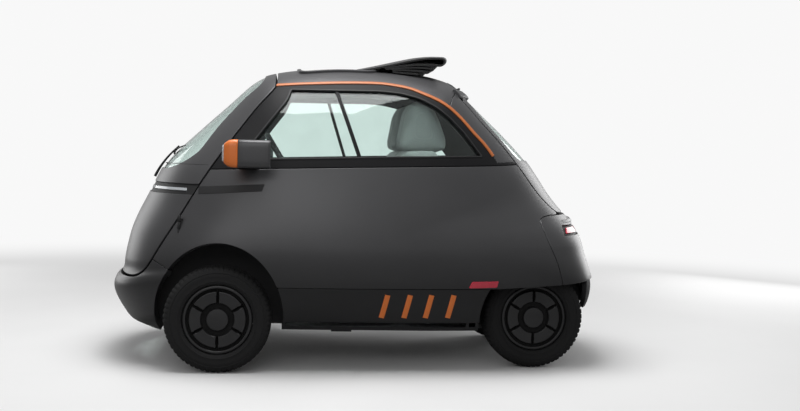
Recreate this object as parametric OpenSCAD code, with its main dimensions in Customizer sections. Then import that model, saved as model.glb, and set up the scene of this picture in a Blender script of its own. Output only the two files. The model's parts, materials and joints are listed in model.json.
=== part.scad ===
// Two-seat electric microcar with one front door, a rear hatch and a folded fabric roof.
// X points forward, Y to the car's left, Z up; the origin is on the ground at the middle.

/* [Overall] */
// Height of the roof above the ground
car_height = 1501; // [1300:1:1700]
// Width over the front wheel arches
car_width = 1473; // [1350:1:1600]
// Distance from front axle to rear axle
wheelbase = 1566; // [1520:1:1600]
// Distance from the origin forward to the front axle
front_axle_x = 695; // [680:1:710]
// Distance between the middles of the front tyres
front_track = 1240; // [1210:1:1260]
// Distance between the middles of the rear tyres
rear_track = 868; // [800:1:880]

/* [Wheels] */
// Diameter of the tyre
tyre_d = 508; // [480:1:520]
// Width of the tyre
tyre_w = 145; // [125:1:155]
// Diameter of the rim where the tyre sits
rim_d = 334; // [310:1:350]
// Diameter of the wheel spindles
spindle_d = 30; // [24:1:36]
// Free play between a spindle and its bore, on the radius
running_fit = 0.05; // [0.02:0.01:0.1]

/* [Body] */
// Thickness of doors, sides and roof
wall = 36; // [28:1:44]
// Gap round a moving panel
shut_gap = 8.5; // [8:0.5:10]
// Gap between panels that are fixed together
seam_gap = 0.6; // [0.4:0.1:0.9]
// Thickness of the glass
glass_t = 5; // [4:0.5:7]
// Depth of the glass below the outer surface
glass_inset = 7; // [5:0.5:12]
// Height of the lower edge of the sills
sill_z = 240; // [220:1:260]

/* [Cabin] */
// Outer diameter of the steering wheel rim
steering_wheel_d = 345; // [320:1:360]
// Half width of the bench seat
seat_half_w = 500; // [420:5:510]
// Rake of the steering column from horizontal, in degrees
column_rake = 32; // [25:1:40]

/* [Hidden] */
$fn = 64;

wheel_r = tyre_d / 2;
rear_axle_x = front_axle_x - wheelbase;
half_w = car_width / 2;
far = 1600;

// Pole of the egg-shaped body in the side view; the outline is drawn round it.
hub_x = 0;
hub_z = 620;
roof_scale = (car_height - hub_z) / (1501 - hub_z);

// Side outline of the body on the middle plane, from the chin over the roof to the tail.
side_points = [[1080, 140], [1165, 180], [1215, 245], [1250, 310], [1259.5, 360], [1245, 405],
    [1212, 442], [1205, 500], [1192, 570], [1172, 650], [1140, 730], [1098, 815], [1058, 900],
    [1020, 970], [960, 1045], [825, 1175], [690, 1300], [590, 1395], [520, 1442], [440, 1467],
    [320, 1486], [160, 1499], [0, 1501], [-160, 1497], [-300, 1484], [-400, 1465],
    [-480, 1435], [-560, 1370], [-650, 1287], [-770, 1178], [-890, 1055], [-965, 955],
    [-1015, 880], [-1080, 800], [-1150, 725], [-1190, 650], [-1212, 570], [-1240, 490],
    [-1257, 430], [-1259.5, 370], [-1240, 290], [-1180, 200], [-1020, 110], [-700, 40],
    [-250, 10], [250, 10], [700, 40], [950, 85]];

// Half width of the body along its length and its share at each height.
plan_half_w = [[-1300, 600], [-900, 645], [-400, 695], [100, half_w], [600, half_w],
    [1300, 720]];
height_share = [[0, 0.86], [100, 0.90], [350, 0.97], [600, 1], [950, 0.915], [1200, 0.80],
    [1400, 0.705], [1550, 0.65]];
// Squareness of the shoulders round the outline, by the angle from the front.
shoulder_power = [[-180, 8], [-166, 10], [-90, 5.5], [-20, 5.5], [20, 5], [60, 8], [90, 10],
    [120, 8], [160, 4.5], [172, 5.5], [180, 8]];
cross_power = 2.1;

// Lines on the body in the side view.
door_line = [[445, 1560], [445, 1400], [460, 1358], [545, 1256], [694, 1048], [795, 893],
    [886, 737], [977, 592], [1024, 512], [1062, 462], [1110, 436], [1180, 430]];
roof_line = [[460, 1386], [330, 1394], [130, 1404], [-40, 1408], [-130, 1403], [-217, 1389],
    [-290, 1364], [-356, 1335], [-417, 1297]];
belt_line = [[900, 956], [630, 966], [134, 986], [-613, 1013], [-871, 1030], [-1100, 1040]];
window_line = [[373, 1364], [393, 1308], [471, 1206], [545, 1106], [612, 1012], [456, 1016],
    [-156, 1042], [-580, 1056], [-561, 1079], [-491, 1172], [-421, 1243], [-352, 1298],
    [-266, 1341], [-170, 1362], [-66, 1369], [133, 1366]];
rear_seam = [[-1000, 400], [-958, 539], [-912, 640], [-880, 735], [-896, 762], [-950, 772]];
arch_rx = 307;
arch_rz = 364;
sill_top = 415;
windshield_low = 958;
hatch_x = -500;
windshield_side = [[505, 1560], [509, 1418], [609, 1310], [720, 1180], [800, 1066],
    [835, 1030], [905, 985], [975, 958]];

// Front door hinge: a vertical pin at the left of the car.
door_hinge_x = 885;
door_hinge_y = 624;
door_hinge_z = [640, 674, 708, 742];
door_hinge_r = 7.5;
door_pin_r = 3.5;
// Hatch hinge: cross pins at the top edge of the hatch.
hatch_hinge_x = -504;
hatch_hinge_z = 1408;
hatch_hinge_y = 150;
hatch_hinge_r = 6;
hatch_pin_r = 3;
hatch_knuckle = 30;
strap_t = 3;
strap_gap = 0.5;
pin_gap = 0.4;

kingpin_y = 555;
kingpin_r = 8;
arm_t = 14;
arm_low = wheel_r - 109;
arm_high = wheel_r + 91;
steering_x = 400;
steering_y = 300;
steering_z = 1000;
// Where the column's end stands in the wheel's bore, along the column.
column_top = -8;
tow_x = 1190;
tow_y = -330;
tow_z = 330;
tow_socket_r = 14;
tow_bore_r = 8;
plate_hole_pitch = 200;
plate_hole_r = 3;
seat_x = -130;
seat_z = 406;
floor_z = 195;
floor_t = 20;
// Room between the shell and the tub inside it.
tub_gap = 5.5;
// Jacking pads under the floor.
jack_x = 100;
jack_y = 500;
jack_z = 180;
jack_l = 100;
jack_w = 60;

// Smooth value at x from a list of [x, value] knots.
function knot_slope(k, i) = let (a = max(i - 1, 0), b = min(i + 1, len(k) - 1))
    (k[b][1] - k[a][1]) / (k[b][0] - k[a][0]);
function knot_at(k, x) = let (
    n = len(k),
    below = [for (i = [0:n - 2]) if (k[i][0] <= x) i],
    i = len(below) == 0 ? 0 : below[len(below) - 1],
    w = k[i + 1][0] - k[i][0],
    t = min(max((x - k[i][0]) / w, 0), 1),
    m0 = knot_slope(k, i) * w,
    m1 = knot_slope(k, i + 1) * w)
    (2 * t^3 - 3 * t^2 + 1) * k[i][1] + (t^3 - 2 * t^2 + t) * m0
    + (3 * t^2 - 2 * t^3) * k[i + 1][1] + (t^3 - t^2) * m1;

// Points of a smooth curve through a list of points.
function curve_point(a, b, c, d, t) = 0.5 * (2 * b + (c - a) * t
    + (2 * a - 5 * b + 4 * c - d) * t^2 + (3 * b - a - 3 * c + d) * t^3);
function closed_curve(p, steps) = let (n = len(p)) [for (i = [0:n - 1]) for (s = [0:steps - 1])
    curve_point(p[(i + n - 1) % n], p[i], p[(i + 1) % n], p[(i + 2) % n], s / steps)];
function open_curve(p, steps) = let (n = len(p)) concat([for (i = [0:n - 2])
    for (s = [0:steps - 1]) curve_point(p[max(i - 1, 0)], p[i], p[i + 1],
    p[min(i + 2, n - 1)], s / steps)], [p[n - 1]]);

outline = [for (p = closed_curve(side_points, 2))
    [p[0], p[1] > hub_z ? hub_z + (p[1] - hub_z) * roof_scale : p[1]]];
function outline_angle(p) = atan2(p[1] - hub_z, p[0] - hub_x);
function half_width(x, z) = knot_at(plan_half_w, x) * knot_at(height_share, z);

// One point of the skin: on outline point p, at side angle s, at depth d below the surface.
function skin_point(p, s, d) = let (
    power = knot_at(shoulder_power, outline_angle(p)),
    reach = norm([p[0] - hub_x, p[1] - hub_z]),
    share = (reach - d) / reach * pow(cos(s), 2 / power),
    x = hub_x + (p[0] - hub_x) * share,
    z = hub_z + (p[1] - hub_z) * share,
    side = sign(s) * pow(abs(sin(s)), 2 / cross_power))
    [x, side * (half_width(x, z) - d), z];

side_angles = concat([-89, -84.5], [for (s = [-75:12.5:75]) s], [84.5, 89]);

// Closed egg-shaped solid at depth d below the body's outer surface.
module egg(d) {
    rings = len(side_angles);
    n = len(outline);
    right_pole = rings * n;
    points = concat([for (s = side_angles) for (p = outline) skin_point(p, s, d)],
        [[hub_x, -(half_width(hub_x, hub_z) - d), hub_z],
        [hub_x, half_width(hub_x, hub_z) - d, hub_z]]);
    faces = concat(
        [for (i = [0:n - 1]) [right_pole, (i + 1) % n, i]],
        [for (r = [0:rings - 2]) for (i = [0:n - 1]) let (j = (i + 1) % n)
            each [[r * n + i, r * n + j, (r + 1) * n + i],
            [r * n + j, (r + 1) * n + j, (r + 1) * n + i]]],
        [for (i = [0:n - 1]) [right_pole + 1, (rings - 1) * n + i,
            (rings - 1) * n + (i + 1) % n]]);
    polyhedron(points, faces);
}

// Body wall between two depths below the outer surface.
module wall_band(outer, inner) {
    difference() {
        egg(outer);
        egg(inner);
    }
}

// Prism across the car from a side-view outline.
module across(y0 = -far, y1 = far) {
    translate([0, y1, 0]) rotate([90, 0, 0]) linear_extrude(height = y1 - y0) children();
}
// Prism along the car from a rear-view outline, whose x is the car's y.
module along(x0, x1) {
    translate([x0, 0, 0]) rotate([90, 0, 90]) linear_extrude(height = x1 - x0) children();
}
module half(side) {
    translate([-far, side > 0 ? 1 : -far - 1, -far]) cube([2 * far, far, 3 * far]);
}
module flip(side) {
    mirror([0, side > 0 ? 0 : 1, 0]) children();
}
// Keeps faceted skins together as one clean mesh.
module skin_piece() {
    resize([0, 0, 0]) children();
}

module door_area(grow) {
    offset(delta = grow) polygon(concat(open_curve(door_line, 2), [[far, 430], [far, 1560]]));
}
module windshield_area(grow) {
    offset(delta = grow) polygon(concat(windshield_side, [[far, windshield_low], [far, 1560]]));
}
module above_roof_line(grow) {
    offset(delta = grow) polygon(concat(open_curve(roof_line, 2),
        [[-440, 1350], [-505, 1420], [-505, far], [700, far]]));
}
module above_belt(grow) {
    offset(delta = grow) polygon(concat(belt_line, [[-far, 1040], [-far, far], [900, far]]));
}
module window_area(grow) {
    offset(r = 12) offset(delta = grow - 12) polygon(window_line);
}
// A rear-view outline from its points on the left side.
function mirrored(p) = concat(p, [for (i = [len(p) - 1:-1:0]) [-p[i][0], p[i][1]]]);
module hatch_area(grow) {
    offset(r = 40) offset(delta = grow - 40)
        polygon(mirrored([[370, 778], [392, 1000], [355, 1230], [290, 1450]]));
}
module rear_window_area(grow) {
    offset(r = 40) offset(delta = grow - 40)
        polygon(mirrored([[345, 1045], [305, 1220], [240, 1360]]));
}
module rear_panel_area(grow) {
    offset(delta = grow) polygon(concat(open_curve(rear_seam, 2), [[-far, 772], [-far, 400]]));
}
module front_arch(grow) {
    translate([front_axle_x, wheel_r]) scale([arch_rx + grow, arch_rz + grow]) circle(1, $fn = 72);
}
module rear_arch(grow) {
    translate([rear_axle_x, wheel_r]) circle(r = 300 + grow, $fn = 64);
}
module bumper_area(grow) {
    offset(delta = grow) polygon([[905, 470], [1010, 524], [1120, 524], [far, 524], [far, 100],
        [905, 100]]);
}
module below(z) {
    translate([-far, z - far]) square([2 * far, far]);
}

module body_side(side) {
    color("#46464a") skin_piece() difference() {
        intersection() {
            wall_band(0, wall);
            half(side);
        }
        across() above_belt(seam_gap / 2);
        across() door_area(shut_gap / 2);
        across() bumper_area(seam_gap / 2);
        across() front_arch(0);
        across() rear_panel_area(seam_gap / 2);
        across() below(sill_top);
        along(-far, hatch_x) hatch_area(shut_gap / 2);
        rear_wheel_space();
        if (side > 0) door_hinge_pocket();
    }
}
// Room that the rear tyres need inside the body.
module rear_wheel_space() {
    room = 8;
    reach = rear_track / 2 + tyre_w / 2 + room;
    for (s = [1, -1]) flip(s) across(reach - tyre_w - 2 * room, reach)
        translate([rear_axle_x, wheel_r]) circle(wheel_r + 12, $fn = 48);
}
module door_hinge_pocket() {
    translate([door_hinge_x, door_hinge_y, door_hinge_z[0] - 6])
        cylinder(r = door_hinge_r + 4, h = door_hinge_z[3] - door_hinge_z[0] + 12, $fn = 32);
}
module hatch_hinge_pockets() {
    for (s = [1, -1]) translate([hatch_hinge_x, s * hatch_hinge_y - 1.5 * hatch_knuckle - 4,
        hatch_hinge_z]) rotate([-90, 0, 0])
        cylinder(r = hatch_hinge_r + 4, h = 3 * hatch_knuckle + 8, $fn = 32);
}
// Room above the hinge line for the top edge of the opening hatch.
module hatch_swing_room() {
    translate([hatch_hinge_x, -310, hatch_hinge_z]) rotate([-90, 0, 0])
        cylinder(r = 20, h = 620, $fn = 48);
}
module window_frame(side) {
    color("#161617") skin_piece() difference() {
        intersection() {
            wall_band(0, wall);
            half(side);
            across() above_belt(-seam_gap / 2);
        }
        across() above_roof_line(seam_gap / 2);
        across() door_area(shut_gap / 2);
        across() window_area(0);
        along(-far, hatch_x) hatch_area(shut_gap / 2);
        hatch_swing_room();
    }
}
module side_window(side) {
    color("#9fb0aa") skin_piece() intersection() {
        wall_band(glass_inset, glass_inset + glass_t);
        half(side);
        across() window_area(-0.5);
    }
}
module roof() {
    color("#46464a") skin_piece() difference() {
        intersection() {
            wall_band(0, wall);
            across() above_roof_line(-seam_gap / 2);
        }
        across() door_area(shut_gap / 2);
        hatch_swing_room();
        translate([135, 0, 1200]) linear_extrude(height = 600) offset(r = 60)
            square([270, 440], center = true);
    }
}
module folded_roof() {
    color("#101011") skin_piece() difference() {
        across(-270, 270) polygon([[20, 1430], [20, 1503], [-80, 1519], [-176, 1540],
            [-264, 1556], [-335, 1564], [-388, 1566], [-405, 1552], [-397, 1536], [-362, 1519],
            [-326, 1500], [-280, 1440]]);
        egg(-0.4);
    }
}
module sill(side) {
    color("#1b1b1d") skin_piece() difference() {
        intersection() {
            wall_band(6, wall + tub_gap);
            half(side);
            across() translate([-660, sill_z]) square([1200, sill_top - seam_gap - sill_z]);
        }
        across() front_arch(0);
        across() rear_arch(0);
    }
}
module front_bumper() {
    color("#46464a") skin_piece() difference() {
        intersection() {
            wall_band(0, wall);
            across() bumper_area(-seam_gap / 2);
        }
        across() door_area(shut_gap / 2);
        across() front_arch(0);
        across() below(150);
        tow_bore(tow_socket_r + 0.4);
    }
}
module tow_bore(r) {
    translate([900, tow_y, tow_z]) rotate([0, 90, 0]) cylinder(r = r, h = 500);
}
module tow_socket() {
    color("#3a3c40") difference() {
        translate([tow_x - 70, tow_y, tow_z]) rotate([0, 90, 0])
            cylinder(r = tow_socket_r, h = 70);
        translate([tow_x - 60, tow_y, tow_z]) rotate([0, 90, 0])
            cylinder(r = tow_bore_r, h = 100);
    }
}
module rear_panel() {
    color("#46464a") skin_piece() difference() {
        intersection() {
            wall_band(0, wall);
            across() rear_panel_area(-seam_gap / 2);
        }
        across() below(sill_top);
        across() translate([-far, 672]) square([far - 1010, 50]);
        rear_wheel_space();
        along(-far, hatch_x) hatch_area(shut_gap / 2);
    }
}
module tail_light_bar() {
    color("#b5283a") skin_piece() intersection() {
        wall_band(4, wall);
        across() translate([-far, 672.5]) square([far - 1010.5, 49]);
    }
}
module rear_apron() {
    color("#1b1b1d") difference() {
        skin_piece() intersection() {
            wall_band(10, wall + 2);
            across() translate([-far, 290]) square([far - 1160, sill_top - seam_gap - 290]);
        }
        plate_holes();
    }
}
module plate_holder() {
    color("#1b1b1d") difference() {
        skin_piece() difference() {
            translate([-1256, -130, 305]) cube([40, 260, 95]);
            egg(9.6);
        }
        plate_holes();
    }
}
module plate_holes() {
    for (s = [1, -1]) translate([-1300, s * plate_hole_pitch / 2, 350]) rotate([0, 90, 0])
        cylinder(r = plate_hole_r, h = 200);
}
module mirror_pod(side) {
    color("#46464a") skin_piece() difference() {
        flip(side) {
            hull() {
                translate([640, 735, 1040]) scale([45, 60, 66]) sphere(1, $fn = 20);
                translate([480, 735, 1042]) scale([18, 56, 62]) sphere(1, $fn = 20);
            }
            hull() {
                translate([600, 700, 1010]) sphere(18, $fn = 16);
                translate([560, 600, 985]) sphere(18, $fn = 16);
            }
        }
        egg(-0.4);
    }
}
module front_door() {
    color("#46464a") skin_piece() difference() {
        intersection() {
            wall_band(0, wall);
            across() door_area(-shut_gap / 2);
        }
        across() windshield_area(0);
        along(900, far) translate([-700, 836]) square([1400, 54]);
        door_hinge_pocket();
    }
}
module windshield() {
    color("#9fb0aa") skin_piece() intersection() {
        wall_band(glass_inset, glass_inset + glass_t);
        across() windshield_area(-0.5);
        across() door_area(-shut_gap / 2 - 1);
    }
}
module front_light_bar() {
    color("#e8eef2") skin_piece() intersection() {
        wall_band(4, wall);
        along(900.5, far) translate([-700, 836.5]) square([1400, 53]);
    }
}
// A thin strap on the outer skin, inside a box.
module strap(low, size) {
    skin_piece() intersection() {
        wall_band(-strap_gap - strap_t, -strap_gap);
        translate(low) cube(size);
    }
}
module door_hinge() {
    color("#2a2a2c") {
        for (k = [0, 2]) {
            height = door_hinge_z[k + 1] - door_hinge_z[k];
            translate([door_hinge_x, door_hinge_y, door_hinge_z[k]])
                cylinder(r = door_hinge_r, h = height);
            strap([door_hinge_x - 45, 500, door_hinge_z[k]], [45, 200, height]);
        }
        translate([door_hinge_x, door_hinge_y, door_hinge_z[0]])
            cylinder(r = door_pin_r, h = door_hinge_z[3] - door_hinge_z[0]);
    }
}
module door_hinge_strap() {
    low = door_hinge_z[1] + pin_gap;
    height = door_hinge_z[2] - door_hinge_z[1] - 2 * pin_gap;
    color("#2a2a2c") difference() {
        union() {
            translate([door_hinge_x, door_hinge_y, low]) cylinder(r = door_hinge_r, h = height);
            strap([door_hinge_x, 500, low], [90, 200, height]);
        }
        translate([door_hinge_x, door_hinge_y, door_hinge_z[0]])
            cylinder(r = door_pin_r + running_fit, h = 200);
    }
}
module door_beam() {
    color("#2a2a2c") skin_piece() intersection() {
        egg(wall + 0.4);
        hull() for (s = [1, -1]) translate([880, s * 560, 905])
            scale([26, 20, 30]) sphere(1, $fn = 24);
    }
}
module wiper() {
    color("#161617") skin_piece() difference() {
        union() {
            hull() {
                translate([1074, 60, 910]) sphere(9, $fn = 16);
                translate([978, 100, 1064]) sphere(5, $fn = 16);
            }
            translate([1055, 60, 905]) sphere(22, $fn = 20);
        }
        egg(-0.4);
    }
}
module rear_hatch() {
    color("#46464a") skin_piece() difference() {
        intersection() {
            wall_band(0, wall);
            along(-far, hatch_x - shut_gap) hatch_area(-shut_gap / 2);
        }
        along(-far, hatch_x) rear_window_area(0);
        hatch_hinge_pockets();
    }
}
module rear_window() {
    color("#9fb0aa") skin_piece() intersection() {
        wall_band(glass_inset, glass_inset + glass_t);
        along(-far, hatch_x) rear_window_area(-0.5);
    }
}
module at_hatch_hinge(y) {
    translate([hatch_hinge_x, y, hatch_hinge_z]) rotate([-90, 0, 0]) children();
}
module hatch_hinge() {
    color("#2a2a2c") for (s = [1, -1]) {
        y = s * hatch_hinge_y;
        for (k = [-1.5, 0.5]) {
            at_hatch_hinge(y + k * hatch_knuckle) cylinder(r = hatch_hinge_r, h = hatch_knuckle);
            strap([hatch_hinge_x, y + k * hatch_knuckle, 1380], [50, hatch_knuckle, 100]);
        }
        at_hatch_hinge(y - 1.5 * hatch_knuckle) cylinder(r = hatch_pin_r, h = 3 * hatch_knuckle);
    }
}
module hatch_hinge_strap() {
    length = hatch_knuckle - 2 * pin_gap;
    color("#2a2a2c") for (s = [1, -1]) difference() {
        low = s * hatch_hinge_y - length / 2;
        union() {
            at_hatch_hinge(low) cylinder(r = hatch_hinge_r, h = length);
            strap([hatch_hinge_x - 45, low, 1300], [45, length, 130]);
        }
        at_hatch_hinge(low - 20) cylinder(r = hatch_pin_r + running_fit, h = length + 40);
    }
}
module inner_tub() {
    color("#1d1d1f") skin_piece() intersection() {
        egg(wall + tub_gap);
        union() {
            difference() {
                union() {
                    translate([-640, -660, floor_z]) cube([1640, 1320, floor_t]);
                    for (s = [1, -1]) translate([jack_x - jack_l / 2, s * jack_y - jack_w / 2, jack_z])
                        cube([jack_l, jack_w, floor_z - jack_z + 1]);
                    for (s = [1, -1]) flip(s) {
                        across(375, 800) intersection() {
                            front_arch(14);
                            translate([front_axle_x - 400, floor_z]) square([800, 600]);
                        }
                        across(330, 800) intersection() {
                            rear_arch(14);
                            translate([rear_axle_x - 400, floor_z]) square([800, 600]);
                        }
                    }
                    translate([-1210, -700, 556]) cube([700, 1400, 15]);
                    translate([-525, -700, 200]) cube([15, 1400, 371]);
                }
                for (s = [1, -1]) flip(s) {
                    across(389, 900) front_arch(0);
                    across(344, 900) rear_arch(0);
                }
                across() translate([rear_axle_x, wheel_r]) circle(60, $fn = 32);
            }
        }
    }
}
module seat_cushion() {
    color("#8f9090") translate([seat_x, -seat_half_w, seat_z + 0.5]) hull() {
        translate([0, 10, 20]) cube([450, 2 * seat_half_w - 20, 105]);
        translate([10, 40, 0]) cube([410, 2 * seat_half_w - 80, 145]);
    }
}
module seat_backrest() {
    color("#8f9090") {
        across(-seat_half_w, seat_half_w) polygon([[seat_x - 0.5, seat_z + 0.5],
            [seat_x - 15, 700], [-185, 1070], [-205, 1110], [-360, 1110], [-395, 1060],
            [-400, 800], [-330, seat_z + 0.5]]);
        for (s = [1, -1]) across(s * 235 - 125, s * 235 + 125) polygon([[-195, 1100],
            [-208, 1270], [-228, 1330], [-300, 1340], [-345, 1310], [-375, 1230], [-370, 1100]]);
    }
}
// Places a shape on the column, with +Z pointing down it.
module on_column() {
    translate([steering_x, steering_y, steering_z]) rotate([0, 90 + column_rake, 0]) children();
}
module steering_column() {
    color("#2a2a2c") {
        on_column() {
            translate([0, 0, 18]) cylinder(r = 22, h = 300);
            translate([0, 0, column_top]) cylinder(r = 10, h = 40);
        }
        translate([steering_x + 235, steering_y - 25, floor_z + floor_t])
            cube([60, 50, 630]);
    }
}
module steering_wheel() {
    color("#1c1c1e") on_column() difference() {
        union() {
            rotate_extrude() translate([steering_wheel_d / 2 - 15, 0]) circle(r = 15);
            cylinder(r = 32, h = 34, center = true);
            for (a = [0, 120, 240]) rotate([0, 0, a]) translate([20, -15, -6])
                cube([steering_wheel_d / 2 - 40, 30, 10]);
        }
        translate([0, 0, -12]) cylinder(r = 10 + running_fit, h = 60);
    }
}
module pedals() {
    color("#2a2a2c") for (y = [185, 290]) translate([880, y, floor_z + floor_t])
        cube([12, 60, 120]);
}
module battery() {
    color("#3a3c40") translate([-480, -420, floor_z + floor_t]) cube([560, 840, seat_z - floor_z - floor_t]);
}
module drive_motor() {
    color("#55585c") difference() {
        translate([rear_axle_x - 110, -150, 180]) cube([220, 300, 260]);
        translate([rear_axle_x, -200, wheel_r]) rotate([-90, 0, 0])
            cylinder(r = spindle_d / 2 + 0.3, h = 400);
    }
}
module front_axle() {
    color("#3a3c40") {
        translate([front_axle_x - 40, -330, 130]) cube([80, 660, floor_z - 0.4 - 130]);
        for (s = [1, -1]) flip(s) {
            translate([front_axle_x - 20, 320, arm_low]) cube([40, kingpin_y - 305, arm_t]);
            translate([front_axle_x, kingpin_y, arm_low]) cylinder(r = 20, h = arm_t);
            translate([front_axle_x, kingpin_y, arm_low])
                cylinder(r = kingpin_r, h = arm_high - arm_low);
            translate([front_axle_x, kingpin_y, arm_high]) cylinder(r = 20, h = arm_t);
            translate([front_axle_x - 15, 390, arm_high]) cube([30, kingpin_y - 390, arm_t]);
            translate([front_axle_x - 15, 389.5, arm_low])
                cube([30, 12, arm_high + arm_t - arm_low]);
        }
    }
}
module knuckle(side) {
    color("#55585c") flip(side) difference() {
        union() {
            translate([front_axle_x, kingpin_y, arm_low + arm_t + pin_gap])
                cylinder(r = 22, h = arm_high - arm_low - arm_t - 2 * pin_gap);
            translate([front_axle_x, kingpin_y, wheel_r]) rotate([-90, 0, 0])
                cylinder(r = spindle_d / 2, h = front_track / 2 - kingpin_y + 40);
            translate([front_axle_x, kingpin_y, wheel_r]) rotate([-90, 0, 0])
                cylinder(r = 34, h = 30);
        }
        translate([front_axle_x, kingpin_y, 100]) cylinder(r = kingpin_r + running_fit, h = 300);
    }
}
module rear_axle() {
    arm_z = floor_z - 30;
    color("#3a3c40") {
        translate([rear_axle_x, -rear_track / 2 - 40, wheel_r]) rotate([-90, 0, 0])
            cylinder(r = spindle_d / 2, h = rear_track + 80);
        for (s = [1, -1]) flip(s) {
            translate([rear_axle_x, rear_track / 2 - 100, wheel_r]) rotate([-90, 0, 0])
                cylinder(r = 40, h = 55);
            translate([rear_axle_x - 20, 250, arm_z]) cube([40, 40, wheel_r - arm_z]);
            translate([rear_axle_x - 20, 250, arm_z]) cube([420, 40, 29.6]);
        }
    }
}
// Wheel shapes lie round the Z axis, with +Z toward the outside of the car.
module rim_shape() {
    difference() {
        union() {
            rotate_extrude() polygon([[rim_d / 2 - 8, -60], [rim_d / 2, -60],
                [rim_d / 2, 62], [rim_d / 2 - 8, 62]]);
            translate([0, 0, 40]) cylinder(r = rim_d / 2 - 4, h = 14);
            translate([0, 0, -18]) cylinder(r = 40, h = 70);
        }
        translate([0, 0, -60]) cylinder(r = spindle_d / 2 + running_fit, h = 105);
    }
}
module tyre_shape() {
    r = wheel_r;
    w = tyre_w / 2;
    b = rim_d / 2 + 0.3;
    rotate_extrude($fn = 96) polygon([[b, -w + 12], [b + 12, -w + 4], [b + 45, -w],
        [r - 22, -w + 4], [r - 6, -w + 14], [r, -w + 34], [r, w - 34], [r - 6, w - 14],
        [r - 22, w - 4], [b + 45, w], [b + 12, w - 4], [b, w - 12]]);
}
module at_wheel(x, track, side) {
    translate([x, side * track / 2, wheel_r]) rotate([side > 0 ? -90 : 90, 0, 0]) children();
}

inner_tub();
body_side(1);  // body_side_left
body_side(-1);  // body_side_right
window_frame(1);  // window_frame_left
window_frame(-1);  // window_frame_right
side_window(1);  // side_window_left
side_window(-1);  // side_window_right
roof();
folded_roof();
sill(1);  // sill_left
sill(-1);  // sill_right
front_bumper();
rear_panel();
rear_apron();
tail_light_bar();
plate_holder();
tow_socket();
mirror_pod(1);  // mirror_pod_left
mirror_pod(-1);  // mirror_pod_right
door_hinge();
front_door();
door_hinge_strap();
windshield();
front_light_bar();
door_beam();
wiper();
rear_hatch();
rear_window();
hatch_hinge();
hatch_hinge_strap();
seat_cushion();
seat_backrest();
steering_column();
steering_wheel();
pedals();
battery();
drive_motor();
front_axle();
rear_axle();
knuckle(1);  // knuckle_left
knuckle(-1);  // knuckle_right
at_wheel(front_axle_x, front_track, 1) rim_shape();  // front_wheel_left
at_wheel(front_axle_x, front_track, -1) rim_shape();  // front_wheel_right
at_wheel(rear_axle_x, rear_track, 1) rim_shape();  // rear_wheel_left
at_wheel(rear_axle_x, rear_track, -1) rim_shape();  // rear_wheel_right
at_wheel(front_axle_x, front_track, 1) tyre_shape();  // front_tyre_left
at_wheel(front_axle_x, front_track, -1) tyre_shape();  // front_tyre_right
at_wheel(rear_axle_x, rear_track, 1) tyre_shape();  // rear_tyre_left
at_wheel(rear_axle_x, rear_track, -1) tyre_shape();  // rear_tyre_right
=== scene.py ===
# %% [markdown]
# # A two-seat electric microcar with one front door
# The car is an egg-shaped shell on four small wheels. Its construction is already fixed: every
# named part has a place, a size and a body that it moves with. This notebook dresses that frame.
# First comes the frame itself. Nothing made here may grow past it.

# %% Open the frame
import json
import math
import bmesh
import bpy
import numpy as np
from mathutils import Matrix, Vector, geometry


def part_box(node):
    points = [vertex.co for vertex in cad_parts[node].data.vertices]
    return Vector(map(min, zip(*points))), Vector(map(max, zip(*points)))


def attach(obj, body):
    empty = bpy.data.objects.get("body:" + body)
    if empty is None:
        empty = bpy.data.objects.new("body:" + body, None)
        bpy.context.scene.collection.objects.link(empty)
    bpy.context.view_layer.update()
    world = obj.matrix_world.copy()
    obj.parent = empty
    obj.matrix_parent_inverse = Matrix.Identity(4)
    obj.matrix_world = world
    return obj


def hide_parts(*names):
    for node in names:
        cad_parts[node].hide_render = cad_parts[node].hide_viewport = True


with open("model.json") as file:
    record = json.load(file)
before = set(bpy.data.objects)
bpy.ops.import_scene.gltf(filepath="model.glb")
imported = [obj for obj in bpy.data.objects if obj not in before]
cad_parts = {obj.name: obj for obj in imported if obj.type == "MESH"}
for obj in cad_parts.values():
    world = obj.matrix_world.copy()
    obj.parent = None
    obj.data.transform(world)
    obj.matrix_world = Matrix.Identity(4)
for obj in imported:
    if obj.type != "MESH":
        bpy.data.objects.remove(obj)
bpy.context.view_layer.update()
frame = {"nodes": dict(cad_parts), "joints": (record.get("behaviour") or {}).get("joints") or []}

# %% [markdown]
# ## The camera
# The view is from the car's left, a little ahead of the middle and at the height of the mirrors.
# It turns a few degrees toward the tail and leans a little. The axes are written out as a
# matrix: right, up and back.

# %% Camera
def aim_camera(place, turn, dip, lean, lens):
    turn, dip, lean = (math.radians(v) for v in (turn, dip, lean))
    ahead = Vector((-math.sin(turn) * math.cos(dip), -math.cos(turn) * math.cos(dip), -math.sin(dip)))
    level = ahead.cross(Vector((0, 0, 1))).normalized()
    above = level.cross(ahead)
    right = level * math.cos(lean) + above * math.sin(lean)
    up = above * math.cos(lean) - level * math.sin(lean)
    camera = bpy.data.objects.new("camera", bpy.data.cameras.new("camera"))
    camera.matrix_world = Matrix((right, up, -ahead)).transposed().to_4x4()
    camera.location = place
    camera.data.lens = lens
    camera.data.clip_end = 200
    bpy.context.scene.collection.objects.link(camera)
    bpy.context.scene.camera = camera
    return camera


camera = aim_camera((0.411, 5.77, 1.05), 6.36, 2.64, 1.61, 48.3)
print("camera stands", round(camera.location.y, 2), "m to the left")

# %% [markdown]
# ## The shell's shape
# Real body panels are pressed over one smooth form and then cut along shut lines. The same is
# done here. The form is drawn once, as a side outline with a width at each height, and the
# corner between the outline and the flank is a super-ellipse whose squareness changes round the
# car. All panels are then cut from this one form, so neighbours always flow into each other.

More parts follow.
